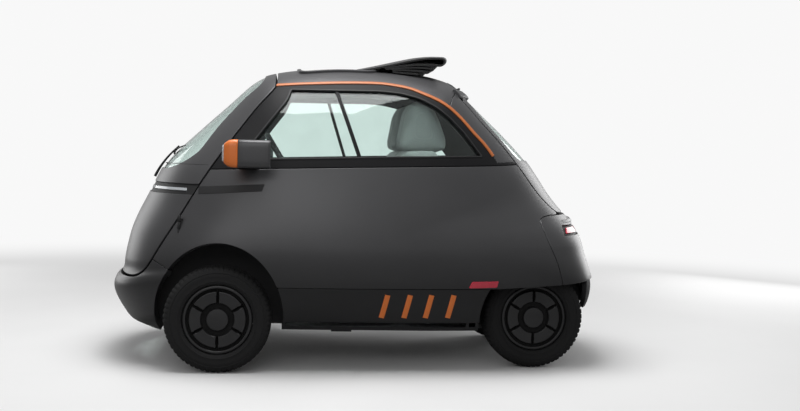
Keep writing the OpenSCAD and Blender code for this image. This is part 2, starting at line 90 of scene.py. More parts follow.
# %% Side outline and widths
MM = 0.001
hub_z = 0.62
side_outline = [(1080, 140), (1165, 180), (1215, 245), (1250, 310), (1259.5, 360), (1245, 405),
    (1212, 442), (1205, 500), (1192, 570), (1172, 650), (1140, 730), (1098, 815), (1058, 900),
    (1020, 970), (960, 1045), (825, 1175), (690, 1300), (590, 1395), (520, 1442), (440, 1467),
    (320, 1486), (160, 1499), (0, 1501), (-160, 1497), (-300, 1484), (-400, 1465), (-480, 1435),
    (-560, 1370), (-650, 1287), (-770, 1178), (-890, 1055), (-965, 955), (-1015, 880),
    (-1080, 800), (-1150, 725), (-1190, 650), (-1212, 570), (-1240, 490), (-1257, 430),
    (-1259.5, 370), (-1240, 290), (-1180, 200), (-1020, 110), (-700, 40), (-250, 10), (250, 10),
    (700, 40), (950, 85)]
plan_width = [(-1300, 600), (-900, 645), (-400, 695), (100, 736.5), (600, 736.5), (1300, 720)]
width_at_height = [(0, .86), (100, .90), (350, .97), (600, 1), (950, .915), (1200, .80),
    (1400, .705), (1550, .65)]
shoulder = [(-180, 8), (-166, 10), (-90, 5.5), (-20, 5.5), (20, 5), (60, 8), (90, 10),
    (120, 8), (160, 4.5), (172, 5.5), (180, 8)]
CROSS = 2.1


def through(knots, x):
    """A smooth value at each x through (x, value) knots."""
    k = np.array(knots, float)
    n = len(k)
    i = np.clip(np.searchsorted(k[:, 0], x, "right") - 1, 0, n - 2)
    slope = np.array([(k[min(j + 1, n - 1), 1] - k[max(j - 1, 0), 1])
        / (k[min(j + 1, n - 1), 0] - k[max(j - 1, 0), 0]) for j in range(n)])
    w = k[i + 1, 0] - k[i, 0]
    t = np.clip((x - k[i, 0]) / w, 0, 1)
    return ((2 * t**3 - 3 * t**2 + 1) * k[i, 1] + (t**3 - 2 * t**2 + t) * slope[i] * w
        + (3 * t**2 - 2 * t**3) * k[i + 1, 1] + (t**3 - t**2) * slope[i + 1] * w)


def flowing(points, closed=False, steps=6):
    """More points on a smooth curve that passes through the given ones."""
    p = np.array(points, float)
    if closed:
        p = np.vstack([p[-1], p, p[0], p[1]])
    else:
        p = np.vstack([p[0], p, p[-1]])
    t = (np.arange(steps) / steps)[:, None]
    out = [0.5 * (2 * b + (c - a) * t + (2 * a - 5 * b + 4 * c - d) * t**2
        + (3 * b - a - 3 * c + d) * t**3) for a, b, c, d in zip(p, p[1:], p[2:], p[3:])]
    return np.vstack(out) if closed else np.vstack(out + [p[-1:]])


ring = flowing(side_outline, closed=True, steps=8) * MM
ring_turn = np.degrees(np.arctan2(ring[:, 1] - hub_z, ring[:, 0]))
ring_turn = (ring_turn + 90) % 360 - 90
order = np.argsort(ring_turn)
ring, ring_turn = ring[order], ring_turn[order]
ring_turn = np.concatenate([[ring_turn[-1] - 360], ring_turn, [ring_turn[0] + 360]])
ring = np.vstack([ring[-1:], ring, ring[:1]])
ring_reach = np.hypot(ring[:, 0], ring[:, 1] - hub_z)
ring_run = np.concatenate([[0], np.cumsum(np.hypot(*np.diff(ring, axis=0).T))])
print("outline", len(ring), "points,", round(ring_run[-1], 2), "m round")

# %% [markdown]
# Any spot in the side view has a turn round the hub and a reach. The reach, as a share of the
# outline's reach, says how far out a spot lies; the width then follows. `level` is 1 on the
# skin, less inside, so its gradient is the surface normal.

# %% Skin functions
def turn_of(x, z):
    return (np.degrees(np.arctan2(z - hub_z, x)) + 90) % 360 - 90


def reach_share(x, z):
    return np.hypot(x, z - hub_z) / np.interp(turn_of(x, z), ring_turn, ring_reach)


def half_width(x, z):
    return through(plan_width, x * 1000) * through(width_at_height, z * 1000) * MM


def squareness(turn):
    return through(shoulder, (turn + 180) % 360 - 180)


def level(p):
    x, y, z = p[:, 0], p[:, 1], p[:, 2]
    return (reach_share(x, z) ** squareness(turn_of(x, z)) + (np.abs(y) / half_width(x, z)) ** CROSS)


def outward(p):
    """Unit normals of the shell at points near it."""
    step = 2e-4
    g = np.stack([level(p + e) - level(p - e) for e in np.eye(3) * step], 1)
    return g / np.linalg.norm(g, axis=1)[:, None]


def flank(x, z, side=1):
    """Points of the shell above side-view spots."""
    x, z = np.asarray(x, float), np.asarray(z, float)
    rest = np.clip(1 - reach_share(x, z) ** squareness(turn_of(x, z)), 0, 1)
    return np.stack([x, side * half_width(x, z) * rest ** (1 / CROSS), z], 1)


def hit(start, way, reach=1.5):
    """Where rays from inside the shell reach it."""
    start, way = np.atleast_2d(np.array(start, float)), np.array(way, float)
    low, high = np.zeros(len(start)), np.full(len(start), reach)
    for _ in range(40):
        mid = (low + high) / 2
        inside = level(start + mid[:, None] * way) < 1
        low, high = np.where(inside, mid, low), np.where(inside, high, mid)
    return start + low[:, None] * way


print("half width at the shoulders", round(float(half_width(np.array([0.3]), np.array([0.6]))[0]), 3))

# %% [markdown]
# ## Two flat maps of the shell
# A panel is easiest to cut from a flat sheet. The flank is nearly flat already, so its map is
# the side view. Panels that wrap across the car use a second map: along the outline one way,
# and across the car the other way. Each map can place a flat spot on the shell and find it back.

# %% Flat maps
class FlankMap:
    def __init__(self, side):
        self.side = side

    def place(self, spots):
        return flank(spots[:, 0], spots[:, 1], self.side)

    def find(self, p):
        return p[:, [0, 2]]


class WrapMap:
    def find(self, p):
        x, y, z = p.T
        turn = turn_of(x, z)
        across = np.abs(y) + (1 - reach_share(x, z)) * np.interp(turn, ring_turn, ring_reach)
        return np.stack([np.interp(turn, ring_turn, ring_run), np.sign(y) * across], 1)

    def place(self, spots):
        turn = np.interp(spots[:, 0], ring_run, ring_turn)
        reach = np.interp(turn, ring_turn, ring_reach)
        power = squareness(turn)
        low, high = np.zeros(len(spots)), np.full(len(spots), math.pi / 2)
        for _ in range(45):
            mid = (low + high) / 2
            p = self.point(turn, reach, power, mid)
            near = np.abs(p[:, 1]) + (1 - np.cos(mid) ** (2 / power)) * reach < np.abs(spots[:, 1])
            low, high = np.where(near, mid, low), np.where(near, high, mid)
        p = self.point(turn, reach, power, (low + high) / 2)
        p[:, 1] *= np.sign(spots[:, 1])
        return p

    def point(self, turn, reach, power, tilt):
        share = np.cos(tilt) ** (2 / power) * reach
        a = np.radians(turn)
        x, z = np.cos(a) * share, hub_z + np.sin(a) * share
        return np.stack([x, np.sin(tilt) ** (2 / CROSS) * half_width(x, z), z], 1)


wrap = WrapMap()
flanks = {1: FlankMap(1), -1: FlankMap(-1)}
probe = np.array([[0.9, 0.4], [1.2, -0.3]])
probe[:, 0] += np.interp(0, ring_turn, ring_run)
print("map error", float(np.abs(wrap.find(wrap.place(probe)) - probe).max()))

# %% [markdown]
# ## Shut lines
# The cuts between panels are drawn in the side view, like tape on a clay model, and each one is
# grown or shrunk by half a gap. Corners are rounded, because pressed sheet has no sharp ones.

# %% Lines and how they grow
def rounded(points, corner, gentle=0.25):
    """Rounds the corners of a closed outline: small at real corners, wide where it only bends."""
    p = np.array(points, float)
    out = []
    for a, b, c in zip(np.roll(p, 1, 0), p, np.roll(p, -1, 0)):
        u, v = a - b, c - b
        lu, lv = np.linalg.norm(u), np.linalg.norm(v)
        u, v = u / lu, v / lv
        turn = math.pi - math.acos(max(-1, min(1, float(u @ v))))
        if turn < 0.01:
            out.append(b)
            continue
        radius = corner if turn > 0.6 else gentle
        cut = min(radius * math.tan(turn / 2), 0.48 * lu, 0.48 * lv)
        for t in np.linspace(0, 1, 7):
            out.append((1 - t)**2 * (b + u * cut) + 2 * t * (1 - t) * b + t**2 * (b + v * cut))
    return np.array(out)


def grown(points, by):
    """The same closed outline, grown outward by a distance."""
    p = np.array(points, float)
    x, z = p.T
    area = np.sum(x * np.roll(z, -1) - np.roll(x, -1) * z)
    ahead = np.roll(p, -1, 0) - p
    ahead /= np.linalg.norm(ahead, axis=1)[:, None] + 1e-12
    side = np.stack([ahead[:, 1], -ahead[:, 0]], 1) * np.sign(area)
    before = np.roll(side, 1, 0)
    mid = side + before
    mid /= np.linalg.norm(mid, axis=1)[:, None] + 1e-12
    return p + mid * (by / np.clip((mid * side).sum(1), 0.4, 1))[:, None]


def within(points, outline):
    """Which flat points lie inside a closed outline."""
    x, z = points.T
    inside = np.zeros(len(points), bool)
    for (ax, az), (bx, bz) in zip(outline, np.roll(outline, -1, 0)):
        if az != bz:
            inside ^= ((az > z) != (bz > z)) & (x < (bx - ax) * (z - az) / (bz - az) + ax)
    return inside


FAR = 1.7
door_cut = np.vstack([flowing([(445, 1560), (445, 1400), (460, 1358), (545, 1256), (694, 1048),
    (795, 893), (886, 737), (977, 592), (1024, 512), (1062, 462), (1110, 436), (1180, 430)]) * MM,
    [(FAR, .43), (FAR, 1.56)]])
roof_cut = np.vstack([flowing([(460, 1386), (330, 1394), (130, 1404), (-40, 1408), (-130, 1403),
    (-217, 1389), (-290, 1364), (-356, 1335), (-417, 1297)]) * MM,
    [(-.44, 1.35), (-.505, 1.42), (-.505, FAR), (.7, FAR)]])
belt_cut = np.vstack([flowing([(900, 956), (630, 966), (134, 986), (-613, 1013), (-871, 1030),
    (-1100, 1040)]) * MM, [(-FAR, 1.04), (-FAR, FAR), (.9, FAR)]])
window_cut = rounded(np.array([(373, 1364), (393, 1308), (471, 1206), (545, 1106), (612, 1012),
    (456, 1016), (-156, 1042), (-580, 1056), (-561, 1079), (-491, 1172), (-421, 1243),
    (-352, 1298), (-266, 1341), (-170, 1362), (-66, 1369), (133, 1366)]) * MM, 0.014)
windshield_cut = np.vstack([flowing([(505, 1560), (509, 1418), (609, 1310), (720, 1180),
    (800, 1066), (835, 1030), (905, 985), (975, 958)]) * MM, [(FAR, .958), (FAR, 1.56)]])
bumper_cut = np.array([(905, 470), (1010, 524), (1120, 524), (1700, 524), (1700, 100), (905, 100)]) * MM
tail_cut = np.vstack([flowing([(-1000, 400), (-958, 539), (-912, 640), (-880, 735), (-896, 762),
    (-950, 772)]) * MM, [(-FAR, .772), (-FAR, .4)]])
hatch_cut = [(370, 778), (392, 1000), (355, 1230), (290, 1450)]
rear_glass_cut = [(345, 1045), (305, 1220), (240, 1360)]


def both_sides(points):
    p = np.array(points) * MM
    return rounded(np.vstack([p, p[::-1] * [-1, 1]]), 0.04, 0.3)


hatch_cut, rear_glass_cut = both_sides(hatch_cut), both_sides(rear_glass_cut)
front_axle = (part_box("front_tyre_left")[0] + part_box("front_tyre_left")[1]) / 2
rear_axle = (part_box("rear_tyre_left")[0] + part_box("rear_tyre_left")[1]) / 2
loop_turn = np.linspace(0, 2 * math.pi, 120, endpoint=False)
front_arch, rear_arch = (np.stack([axle.x + wide * np.cos(loop_turn), axle.z + high * np.sin(loop_turn)], 1)
    for axle, wide, high in ((front_axle, .307, .364), (rear_axle, .3, .3)))
print("front axle at", round(front_axle.x, 3), "rear axle at", round(rear_axle.x, 3))

# %% [markdown]
# ## Cutting a panel
# A line from the side view lands on both sides of the shell, wherever it lies inside the
# outline. The flat map is then triangulated along all lines, and the triangles that belong to
# the panel are kept. What is left is its border, as loops.

# %% Lines on the maps, and loops from them
def spread(points, step=0.008, closed=True):
    p = np.vstack([points, points[:1]]) if closed else np.array(points)
    run = np.concatenate([[0], np.cumsum(np.linalg.norm(np.diff(p, axis=0), axis=1))])
    p, run = p[np.concatenate([[True], np.diff(run) > 1e-9])], np.unique(run)
    at = np.union1d(np.linspace(0, run[-1], max(int(run[-1] / step), 4)), run)
    return np.stack([np.interp(at, run, p[:, i]) for i in range(p.shape[1])], 1)


def side_line(points, chart, closed=True):
    """A side-view line as lines on a flat map, cut where it leaves the outline."""
    p = spread(points, closed=closed)
    inside = reach_share(p[:, 0], p[:, 1]) < 1
    runs, run = [], []
    for i in range(len(p)):
        if i and inside[i] != inside[i - 1]:
            a, b = (p[i - 1], p[i]) if inside[i - 1] else (p[i], p[i - 1])
            for _ in range(30):
                mid = (a + b) / 2
                a, b = (mid, b) if reach_share(mid[:1], mid[1:])[0] < 1 else (a, mid)
            run.append(a)
        if inside[i]:
            run.append(p[i])
        elif run:
            runs, run = runs + [np.array(run)], []
    if run:
        runs.append(np.array(run))
    if isinstance(chart, FlankMap):
        return [r for r in runs if len(r) > 1]
    return [chart.find(flank(r[:, 0], r[:, 1], side)) for r in runs if len(r) > 1 for side in (1, -1)]


def shell_line(start, way, chart):
    """A line drawn on the shell by rays, on a flat map."""
    return [chart.find(hit(start, way))]


def region_loops(chart, lines, belongs):
    spots, links = [], []
    for line in lines:
        links += [(len(spots) + i, len(spots) + i + 1) for i in range(len(line) - 1)]
        spots += [Vector(p) for p in line]
    flat, _, faces, *_ = geometry.delaunay_2d_cdt(spots, links, [], 0, 1e-7)
    flat = np.array([(p.x, p.y) for p in flat])
    faces = np.array(faces)
    kept = faces[belongs(chart.place(flat[faces].mean(1)))]
    a, b, c = (flat[kept[:, i]] for i in range(3))
    turn = (b - a)[:, 0] * (c - a)[:, 1] - (b - a)[:, 1] * (c - a)[:, 0]
    kept[turn < 0] = kept[turn < 0][:, ::-1]
    sides = {(f[i], f[(i + 1) % 3]) for f in kept.tolist() for i in range(3)}
    after = {}
    for a, b in sides:
        if (b, a) not in sides:
            after.setdefault(a, []).append(b)
    loops = []
    while after:
        first = next(iter(after))
        loop, spot = [], first
        while spot in after:
            loop.append(spot)
            ways = after[spot]
            following = ways.pop()
            if not ways:
                del after[spot]
            spot = following
        loop = flat[loop]
        x, z = loop.T
        if abs(np.sum(x * np.roll(z, -1) - np.roll(x, -1) * z)) > 2e-4:
            loops.append(loop)
    return loops


# %% [markdown]
# The border is smoothed over a few millimetres and thinned out, so that its points are close
# in the bends and wide apart on the straights. Then it is pulled in by the edge radius, and the
# sheet inside is filled with an even net of points. From the sheet the edge rolls over, drops
# by the wall's thickness and meets a second sheet, which is the inner face. The result is one
# closed panel. Its normals come from the form itself, so reflections run smoothly across it.

# %% Panel maker
def eased_loop(chart, loop, soft=0.004, longest=0.011):
    p = spread(loop, 0.002)[:-1]
    width = max(int(soft / 0.002), 1)
    for _ in range(2):
        p = sum(np.roll(p, k, 0) for k in range(-width, width + 1)) / (2 * width + 1)
    q = chart.place(p)
    ahead = np.roll(q, -1, 0) - q
    ahead /= np.linalg.norm(ahead, axis=1)[:, None] + 1e-12
    keep, gone, bent = [0], 0.0, 0.0
    for i in range(1, len(p)):
        gone += np.linalg.norm(q[i] - q[i - 1])
        bent += math.acos(max(-1, min(1, float(ahead[i] @ ahead[i - 1]))))
        if gone > longest or (bent > 0.2 and gone > 0.0015):
            keep.append(i)
            gone = bent = 0.0
    return p[keep]


def loop_frame(chart, loop):
    """Points, normals and outward side directions along a border loop."""
    p = chart.place(loop)
    n = outward(p)
    t = np.roll(p, -1, 0) - np.roll(p, 1, 0)
    side = np.cross(t, n)
    side /= np.linalg.norm(side, axis=1)[:, None] + 1e-12
    flat = np.roll(loop, -1, 0) - np.roll(loop, 1, 0)
    flat /= np.linalg.norm(flat, axis=1)[:, None] + 1e-12
    right = np.stack([flat[:, 1], -flat[:, 0]], 1)
    trial = chart.place(loop + right * 1e-4) - p
    return p, n, side * (1 if (trial * side).sum() > 0 else -1)


def new_piece(name, points, faces, body, material, normals=None, slots=None):
    mesh = bpy.data.meshes.new(name)
    mesh.from_pydata([tuple(map(float, p)) for p in points], [], [tuple(map(int, f)) for f in faces])
    mesh.update()
    mesh.shade_smooth()
    for m in material if isinstance(material, list) else [material]:
        mesh.materials.append(m)
    if slots is not None:
        mesh.polygons.foreach_set("material_index", np.array(slots, np.int32))
    if normals is not None:
        mesh.normals_split_custom_set_from_vertices([tuple(map(float, v)) for v in normals])
    piece = bpy.data.objects.new(name, mesh)
    bpy.context.scene.collection.objects.link(piece)
    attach(piece, body)
    return piece


def make_panel(name, body, chart, lines, belongs, materials, slot, replaced=(), depth=0.0,
        wall=0.036, edge=0.003, net=0.014, soft=0.004, longest=0.011, zone=None):
    loops = [eased_loop(chart, loop, soft, longest) for loop in region_loops(chart, lines, belongs)]
    rims, pulled = [], []
    for loop in loops:
        p, n, side = loop_frame(chart, loop)
        back = chart.find(p - side * edge)
        pulled.append(back)
        rims.append((chart.place(back), n, side))
    low = np.min([l.min(0) for l in pulled], axis=0)
    high = np.max([l.max(0) for l in pulled], axis=0)
    xs, zs = np.arange(low[0], high[0], net), np.arange(low[1], high[1], net * 0.87)
    grid = np.array([(x + net / 2 * (j % 2), z) for j, z in enumerate(zs) for x in xs])
    inside = np.zeros(len(grid), bool)
    for l in pulled:
        inside ^= within(grid, l)
    grid = grid[inside]
    border = np.vstack(pulled)
    clear = np.array([np.min(np.abs(border - g).max(1)) > net * 0.5 for g in grid]) if len(grid) else []
    grid = grid[clear] if len(grid) else grid
    spots = [Vector(p) for p in np.vstack([border, grid])]
    links, start = [], 0
    for l in pulled:
        links += [(start + i, start + (i + 1) % len(l)) for i in range(len(l))]
        start += len(l)
    flat, _, faces, came, *_ = geometry.delaunay_2d_cdt(spots, links, [], 0, 1e-8)
    flat = np.array([(p.x, p.y) for p in flat])
    where = {old: new for new, olds in enumerate(came) for old in olds}
    faces = np.array(faces)
    mid = flat[faces].mean(1)
    inside = np.zeros(len(faces), bool)
    for l in pulled:
        inside ^= within(mid, l)
    faces = faces[inside]
    p = chart.place(flat)
    n = outward(p)
    a, b, c = (p[faces[:, i]] for i in range(3))
    flipped = (np.cross(b - a, c - a) * n[faces[:, 0]]).sum(1) < 0
    faces[flipped] = faces[flipped][:, ::-1]
    count = len(p)
    points = [p - n * depth, p - n * (depth + wall)]
    normals = [n, -n]
    shapes = [tuple(f) for f in faces] + [tuple(f[::-1] + count) for f in faces]
    marks = [0] * len(faces) + [1] * len(faces)
    total, start = 2 * count, 0
    bends = [(math.sin(t), 1 - math.cos(t), math.cos(t)) for t in (math.pi / 6, math.pi / 3, math.pi / 2)]
    for (q, m, side), l in zip(rims, pulled):
        size = len(l)
        first = np.array([where[start + i] for i in range(size)])
        rings = [first]
        steps = [(s * edge, d * edge, s, c) for s, d, c in bends]
        steps += [(s * edge, wall - d * edge, s, -c) for s, d, c in bends[::-1]]
        for out, down, s, c in steps:
            points.append(q + side * out - m * (depth + down))
            normals.append(side * s + m * c)
            rings.append(np.arange(total, total + size))
            total += size
        rings.append(first + count)
        loop_faces = [(a[i], a[(i + 1) % size], b[(i + 1) % size], b[i])
            for a, b in zip(rings, rings[1:]) for i in range(size)]
        trial = loop_faces[0]
        every = np.vstack(points)
        u, v, w = (every[trial[k]] for k in range(3))
        if np.cross(v - u, w - u) @ m[0] < 0:
            loop_faces = [f[::-1] for f in loop_faces]
        shapes += loop_faces
        marks += [0] * len(loop_faces)
        start += size
    points, normals = np.vstack(points), np.vstack(normals)
    if zone:
        middles = np.array([points[list(f)].mean(0) for f in shapes])
        marks = np.where((np.array(marks) == 0) & zone(middles), 2, marks)
    used = np.unique(np.concatenate([np.array(f) for f in shapes]))
    place = np.full(len(points), -1)
    place[used] = np.arange(len(used))
    shapes = [tuple(place[list(f)]) for f in shapes]
    piece = new_piece(name, points[used], shapes, body, materials, normals[used],
        marks if isinstance(materials, list) and len(materials) > 1 else None)
    if replaced:
        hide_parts(*([replaced] if isinstance(replaced, str) else replaced))
    print(name, "loops", len(loops), "faces", len(shapes))
    return piece

# %% [markdown]
# ## Finishes
# Every finish here starts as one shader whose plain numbers sit on its own sockets, and gets
# its life from small procedural changes: a fine grain in the height, a slow drift in the
# roughness and a little cloud in the colour. Real paint and plastic are never perfectly even.

# %% Finish maker
def feed(tree, node, sockets):
    """Sets plain values on a node's sockets and links the others."""
    for key, value in sockets.items():
        if isinstance(value, bpy.types.NodeSocket):
            tree.links.new(value, node.inputs[key])
        else:
            node.inputs[key].default_value = value
    return node


def add_node(tree, kind, sockets={}, **settings):
    node = tree.nodes.new("ShaderNode" + kind)
    for key, value in settings.items():
        setattr(node, key, value)
    return feed(tree, node, sockets)


def new_finish(name, colour, rough, metal=0.0, coat=0.0, coat_rough=0.1, sheen=0.0, ior=1.5,
        through_it=0.0, grain=400.0, bump=0.05, depth=0.0004, cloud=0.12, drift=0.08, patch=9.0):
    m = bpy.data.materials.new(name)
    m.use_nodes = True
    tree = m.node_tree
    spot = add_node(tree, "TexCoord").outputs["Object"]
    slow = add_node(tree, "TexNoise", {"Vector": spot, "Scale": patch, "Detail": 6}).outputs["Fac"]
    fine = add_node(tree, "TexNoise", {"Vector": spot, "Scale": grain, "Detail": 3}).outputs["Fac"]
    ramp = add_node(tree, "ValToRGB", {"Fac": slow})
    for end, at, share in zip(ramp.color_ramp.elements, (0.3, 0.7), (1 - cloud, 1 + cloud)):
        end.position = at
        end.color = (*[min(c * share, 1) for c in colour], 1)
    uneven = add_node(tree, "MapRange", {"Value": slow, "To Min": max(rough - drift, 0.02),
        "To Max": min(rough + drift, 1)})
    shader = feed(tree, tree.nodes["Principled BSDF"], {"Base Color": ramp.outputs["Color"],
        "Roughness": uneven.outputs["Result"], "Metallic": metal, "Coat Weight": coat,
        "Coat Roughness": coat_rough, "Sheen Weight": sheen, "IOR": ior, "Transmission Weight": through_it})
    if bump:
        height = add_node(tree, "Bump", {"Height": fine, "Strength": bump, "Distance": depth})
        feed(tree, shader, {"Normal": height.outputs["Normal"]})
    return m


def darken(m, factor):
    """Multiplies a finish's colour by a factor that changes over the piece."""
    tree = m.node_tree
    shader = tree.nodes["Principled BSDF"]
    colour = shader.inputs["Base Color"].links[0].from_socket
    shade = add_node(tree, "Mix", {"Factor": 1, 6: colour, 7: factor}, data_type="RGBA", blend_type="MULTIPLY")
    feed(tree, shader, {"Base Color": shade.outputs[2]})
    return shader


def add_weave(m, pitch, bump, dark=0.35):
    """Crossed threads at a pitch, in the height and in the colour; the colour gets a painted shade where the threads
    lie low.
    """
    tree = m.node_tree
    spot = add_node(tree, "TexCoord").outputs["Object"]
    x, y, z = [add_node(tree, "TexWave", {"Vector": spot, "Scale": 0.314 / pitch, "Distortion": 0.6, "Detail": 1},
        wave_type="BANDS", bands_direction=way).outputs["Fac"] for way in "XYZ"]
    two = add_node(tree, "Math", {0: x, 1: y}, operation="ADD").outputs[0]
    threads = add_node(tree, "Math", {0: two, 1: z}, operation="ADD").outputs[0]
    height = add_node(tree, "Bump", {"Height": threads, "Strength": bump, "Distance": 0.0008})
    # Painted shade: the colour is multiplied down to 1 - dark where the threads lie lowest, in the weave's hollows.
    shade = add_node(tree, "MapRange", {"Value": threads, "From Max": 3, "To Min": 1 - dark})
    shader = darken(m, shade.outputs["Result"])
    feed(tree, shader, {"Normal": height.outputs["Normal"]})
    return m


# %% [markdown]
# The paint is a satin grey with very fine metal flake under a soft clear coat. Towards the
# sills its colour carries a painted shade that darkens it, for the shade on the lower flank. The
# trim is black plastic with a fine moulded grain, the strips are orange, the glass faintly green.

# %% Finishes of this car
grey_paint = new_finish("satin_grey_paint_and_painted_shade", (.070, .070, .0735), .40, metal=.45, coat=.30, coat_rough=.30,
    grain=1400, bump=.03, cloud=.05, drift=.03, patch=3)
paint = grey_paint.node_tree
up = add_node(paint, "SeparateXYZ", {0: add_node(paint, "TexCoord").outputs["Object"]}).outputs["Z"]
# Painted shade: the paint's colour is multiplied down from 1 at 0.62 m high to 0.42 at 0.42 m, for the shade on the
# lower flank.
lower = {"Value": up, "From Min": .42, "From Max": .62, "To Min": .42, "To Max": 1}
darken(grey_paint, add_node(paint, "MapRange", lower).outputs["Result"])
black_plastic = new_finish("black_moulded_plastic", (.009, .009, .010), .58, grain=900, bump=.18, cloud=.2)
lower_black = new_finish("satin_black_paint", (.0075, .0075, .0085), .55, coat=.05, coat_rough=.4,
    grain=900, bump=.05, cloud=.15)
inner_plastic = new_finish("inner_grey_plastic", (.022, .022, .024), .62, grain=700, bump=.25, cloud=.15)
gloss_black = new_finish("half_gloss_black_trim", (.008, .008, .009), .55, ior=1.27, coat=.01,
    coat_rough=.35, grain=900, bump=.02, cloud=.1, drift=.04)
orange = dict(coat=.25, coat_rough=.2, grain=900, bump=.04, cloud=.05, drift=.04)
orange_trim = new_finish("orange_trim", (.78, .19, .030), .42, **orange)
orange_line = new_finish("orange_line", (.46, .125, .026), .55, **orange)
clear_glass = new_finish("faintly_green_glass", (.80, .90, .87), .03, through_it=1, ior=1.10, coat=.5,
    coat_rough=.02, bump=0, cloud=.02, drift=.01)
red_lens = new_finish("red_lens", (.66, .035, .070), .16, coat=.6, coat_rough=.05, through_it=.08,
    grain=160, bump=.008)
clear_lens = new_finish("clear_lens", (.82, .86, .90), .12, through_it=.45, coat=.6, coat_rough=.04,
    grain=240, bump=.05, cloud=.03)
tyre_rubber = new_finish("tyre_rubber", (.0065, .0065, .007), .85, grain=500, bump=.25, cloud=.3)
# Painted shade: a near-black finish for the wheel cover's deepest hollows, where shade falls.
wheel_shadow = new_finish("painted_recess_shade", (.003, .003, .003), .9, grain=500, bump=.1)
black_alloy = new_finish("black_wheel_paint", (.021, .021, .022), .36, metal=.3, coat=.3, coat_rough=.25,
    grain=800, bump=.05)
dark_steel = new_finish("dark_steel", (.10, .10, .105), .42, metal=.9, grain=300, bump=.12, cloud=.25,
    drift=.12)
bare_alloy = new_finish("bare_alloy", (.42, .42, .44), .34, metal=.95, grain=260, bump=.1, cloud=.15,
    drift=.1)
seat_cloth = add_weave(new_finish("light_seat_cloth", (.42, .43, .43), .82, sheen=.3, bump=0, cloud=.08),
    .0022, .35)
roof_cloth = add_weave(new_finish("black_roof_canvas", (.016, .016, .017), .86, sheen=.25, bump=0, cloud=.25),
    .0026, .5)
print(len(bpy.data.materials), "finishes")

# %% [markdown]
# ## Fixed body panels
# The flank is one large pressing from the door's edge to the tail, cut by the wheel arch, the
# belt under the windows and the rear corner. Everything below is the same recipe: name the
# lines, say which side of them the panel lies on, and let the panel maker do the rest. A shut
# gap is 8.5 mm wide at moving panels and a hairline between fixed ones; each panel keeps half
# of it clear.

# %% Where panels lie
GAP, SEAM = .00425, .0012
SIDES = (1, "left"), (-1, "right")
PAINTED = [grey_paint, inner_plastic]


def line_of(outline, by=0.0):
    return grown(outline, by) if by else outline


def on(p, outline, by=0.0):
    return within(p[:, [0, 2]], line_of(outline, by))


def off(p, outline, by=0.0):
    return ~on(p, outline, by)


def cuts(chart, *pairs):
    """The lines of several outlines, each grown by its own distance."""
    return [l for outline, by in pairs for l in side_line(line_of(outline, by), chart)]


def straight(x0, z0, x1, z1):
    return side_line(np.array([(x0, z0), (x1, z1)]), wrap, closed=False)


def tail_line(outline, chart):
    ring3 = spread(outline)
    start = np.stack([np.full(len(ring3), -.45), ring3[:, 0], ring3[:, 1]], 1)
    return shell_line(start, (-1, 0, 0), chart)


def in_tail(p, outline, end=-.45):
    return (p[:, 0] < end) & within(p[:, 1:], outline)


slot_front = np.array([(.70, .838), (FAR, .838), (FAR, .889), (.70, .889)])
slot_tail = np.array([(-1.010, .672), (-1.010, .722), (-FAR, .722), (-FAR, .672)])
sill_top = .415
foot_line = np.array([(-2, .450), (-1.28, .450), (-.655, sill_top), (2, sill_top)])


def foot(p):
    """The paint's lower edge, level at the sills and rising a little towards the tail."""
    return np.interp(p[:, 0], foot_line[:, 0], foot_line[:, 1])


hatch_big, hatch_small = grown(hatch_cut, GAP), grown(hatch_cut, -GAP)
hatch_end, frame_end = -.5085, -.486


def on_flank_panel(p):
    return (off(p, belt_cut, SEAM) & off(p, door_cut, GAP) & off(p, bumper_cut, SEAM) & off(p, front_arch)
        & off(p, tail_cut, SEAM) & (p[:, 2] > foot(p)) & ~in_tail(p, hatch_big)
        & ((p[:, 2] > .79) | (p[:, 0] > -1.0)) & (np.abs(p[:, 1]) > .2))


for side, name in SIDES:
    chart = flanks[side]
    lines = cuts(chart, (belt_cut, SEAM), (door_cut, GAP), (bumper_cut, SEAM), (front_arch, 0), (tail_cut, SEAM))
    lines += [spread(foot_line, closed=False)] + tail_line(hatch_big * [side, 1], chart)
    make_panel(f"flank_{name}", "car_body", chart, lines, on_flank_panel, PAINTED, "body_paint",
        f"body_side_{name}")

# %% [markdown]
# Above the belt the frames of the side windows are black, from the front pillar over the
# glass to the corner behind it, with the window cut out. They wrap over the tail's shoulder,
# so they are made on the second map. Above the orange strip they are painted like the roof.

# %% Window frames
strip_line = flowing([(442, 1383), (328, 1391), (131, 1402), (-43, 1407), (-130, 1401), (-217, 1387),
    (-287, 1362), (-356, 1334), (-417, 1297), (-479, 1242), (-541, 1174), (-595, 1119),
    (-638, 1062)]) * MM
black_zone = np.vstack([strip_line, [(-.66, 1.03), (-.95, 1.046), (-1.2, 1.05), (-1.2, .9), (.9, .9), (.9, 1.39)]])
frame_cross = straight(frame_end, .2, frame_end, 1.7)
frame_lines = cuts(wrap, (belt_cut, -SEAM), (roof_cut, SEAM), (door_cut, GAP), (window_cut, 0))
frame_lines += tail_line(hatch_big, wrap) + frame_cross
frame_lines += [np.array([(u, side * .001) for u in np.arange(0, ring_run[-1], .02)]) for side, _ in SIDES]
for side, name in SIDES:
    make_panel(f"window_frame_{name}_skin", "car_body", wrap, frame_lines,
        lambda p: on(p, belt_cut, -SEAM) & off(p, roof_cut, SEAM) & off(p, door_cut, GAP) & off(p, window_cut)
        & ~in_tail(p, hatch_big, frame_end) & (side * p[:, 1] > .001),
        PAINTED + [gloss_black], "black_paint", f"window_frame_{name}", net=.012,
        zone=lambda p: on(p, black_zone))

# %% [markdown]
# ## Roof, bumper and tail
# The roof skin has the large opening for the folding top. The bumper is one piece round the
# nose with the wheel arches cut into it. The tail panel carries the light bar in a slot.

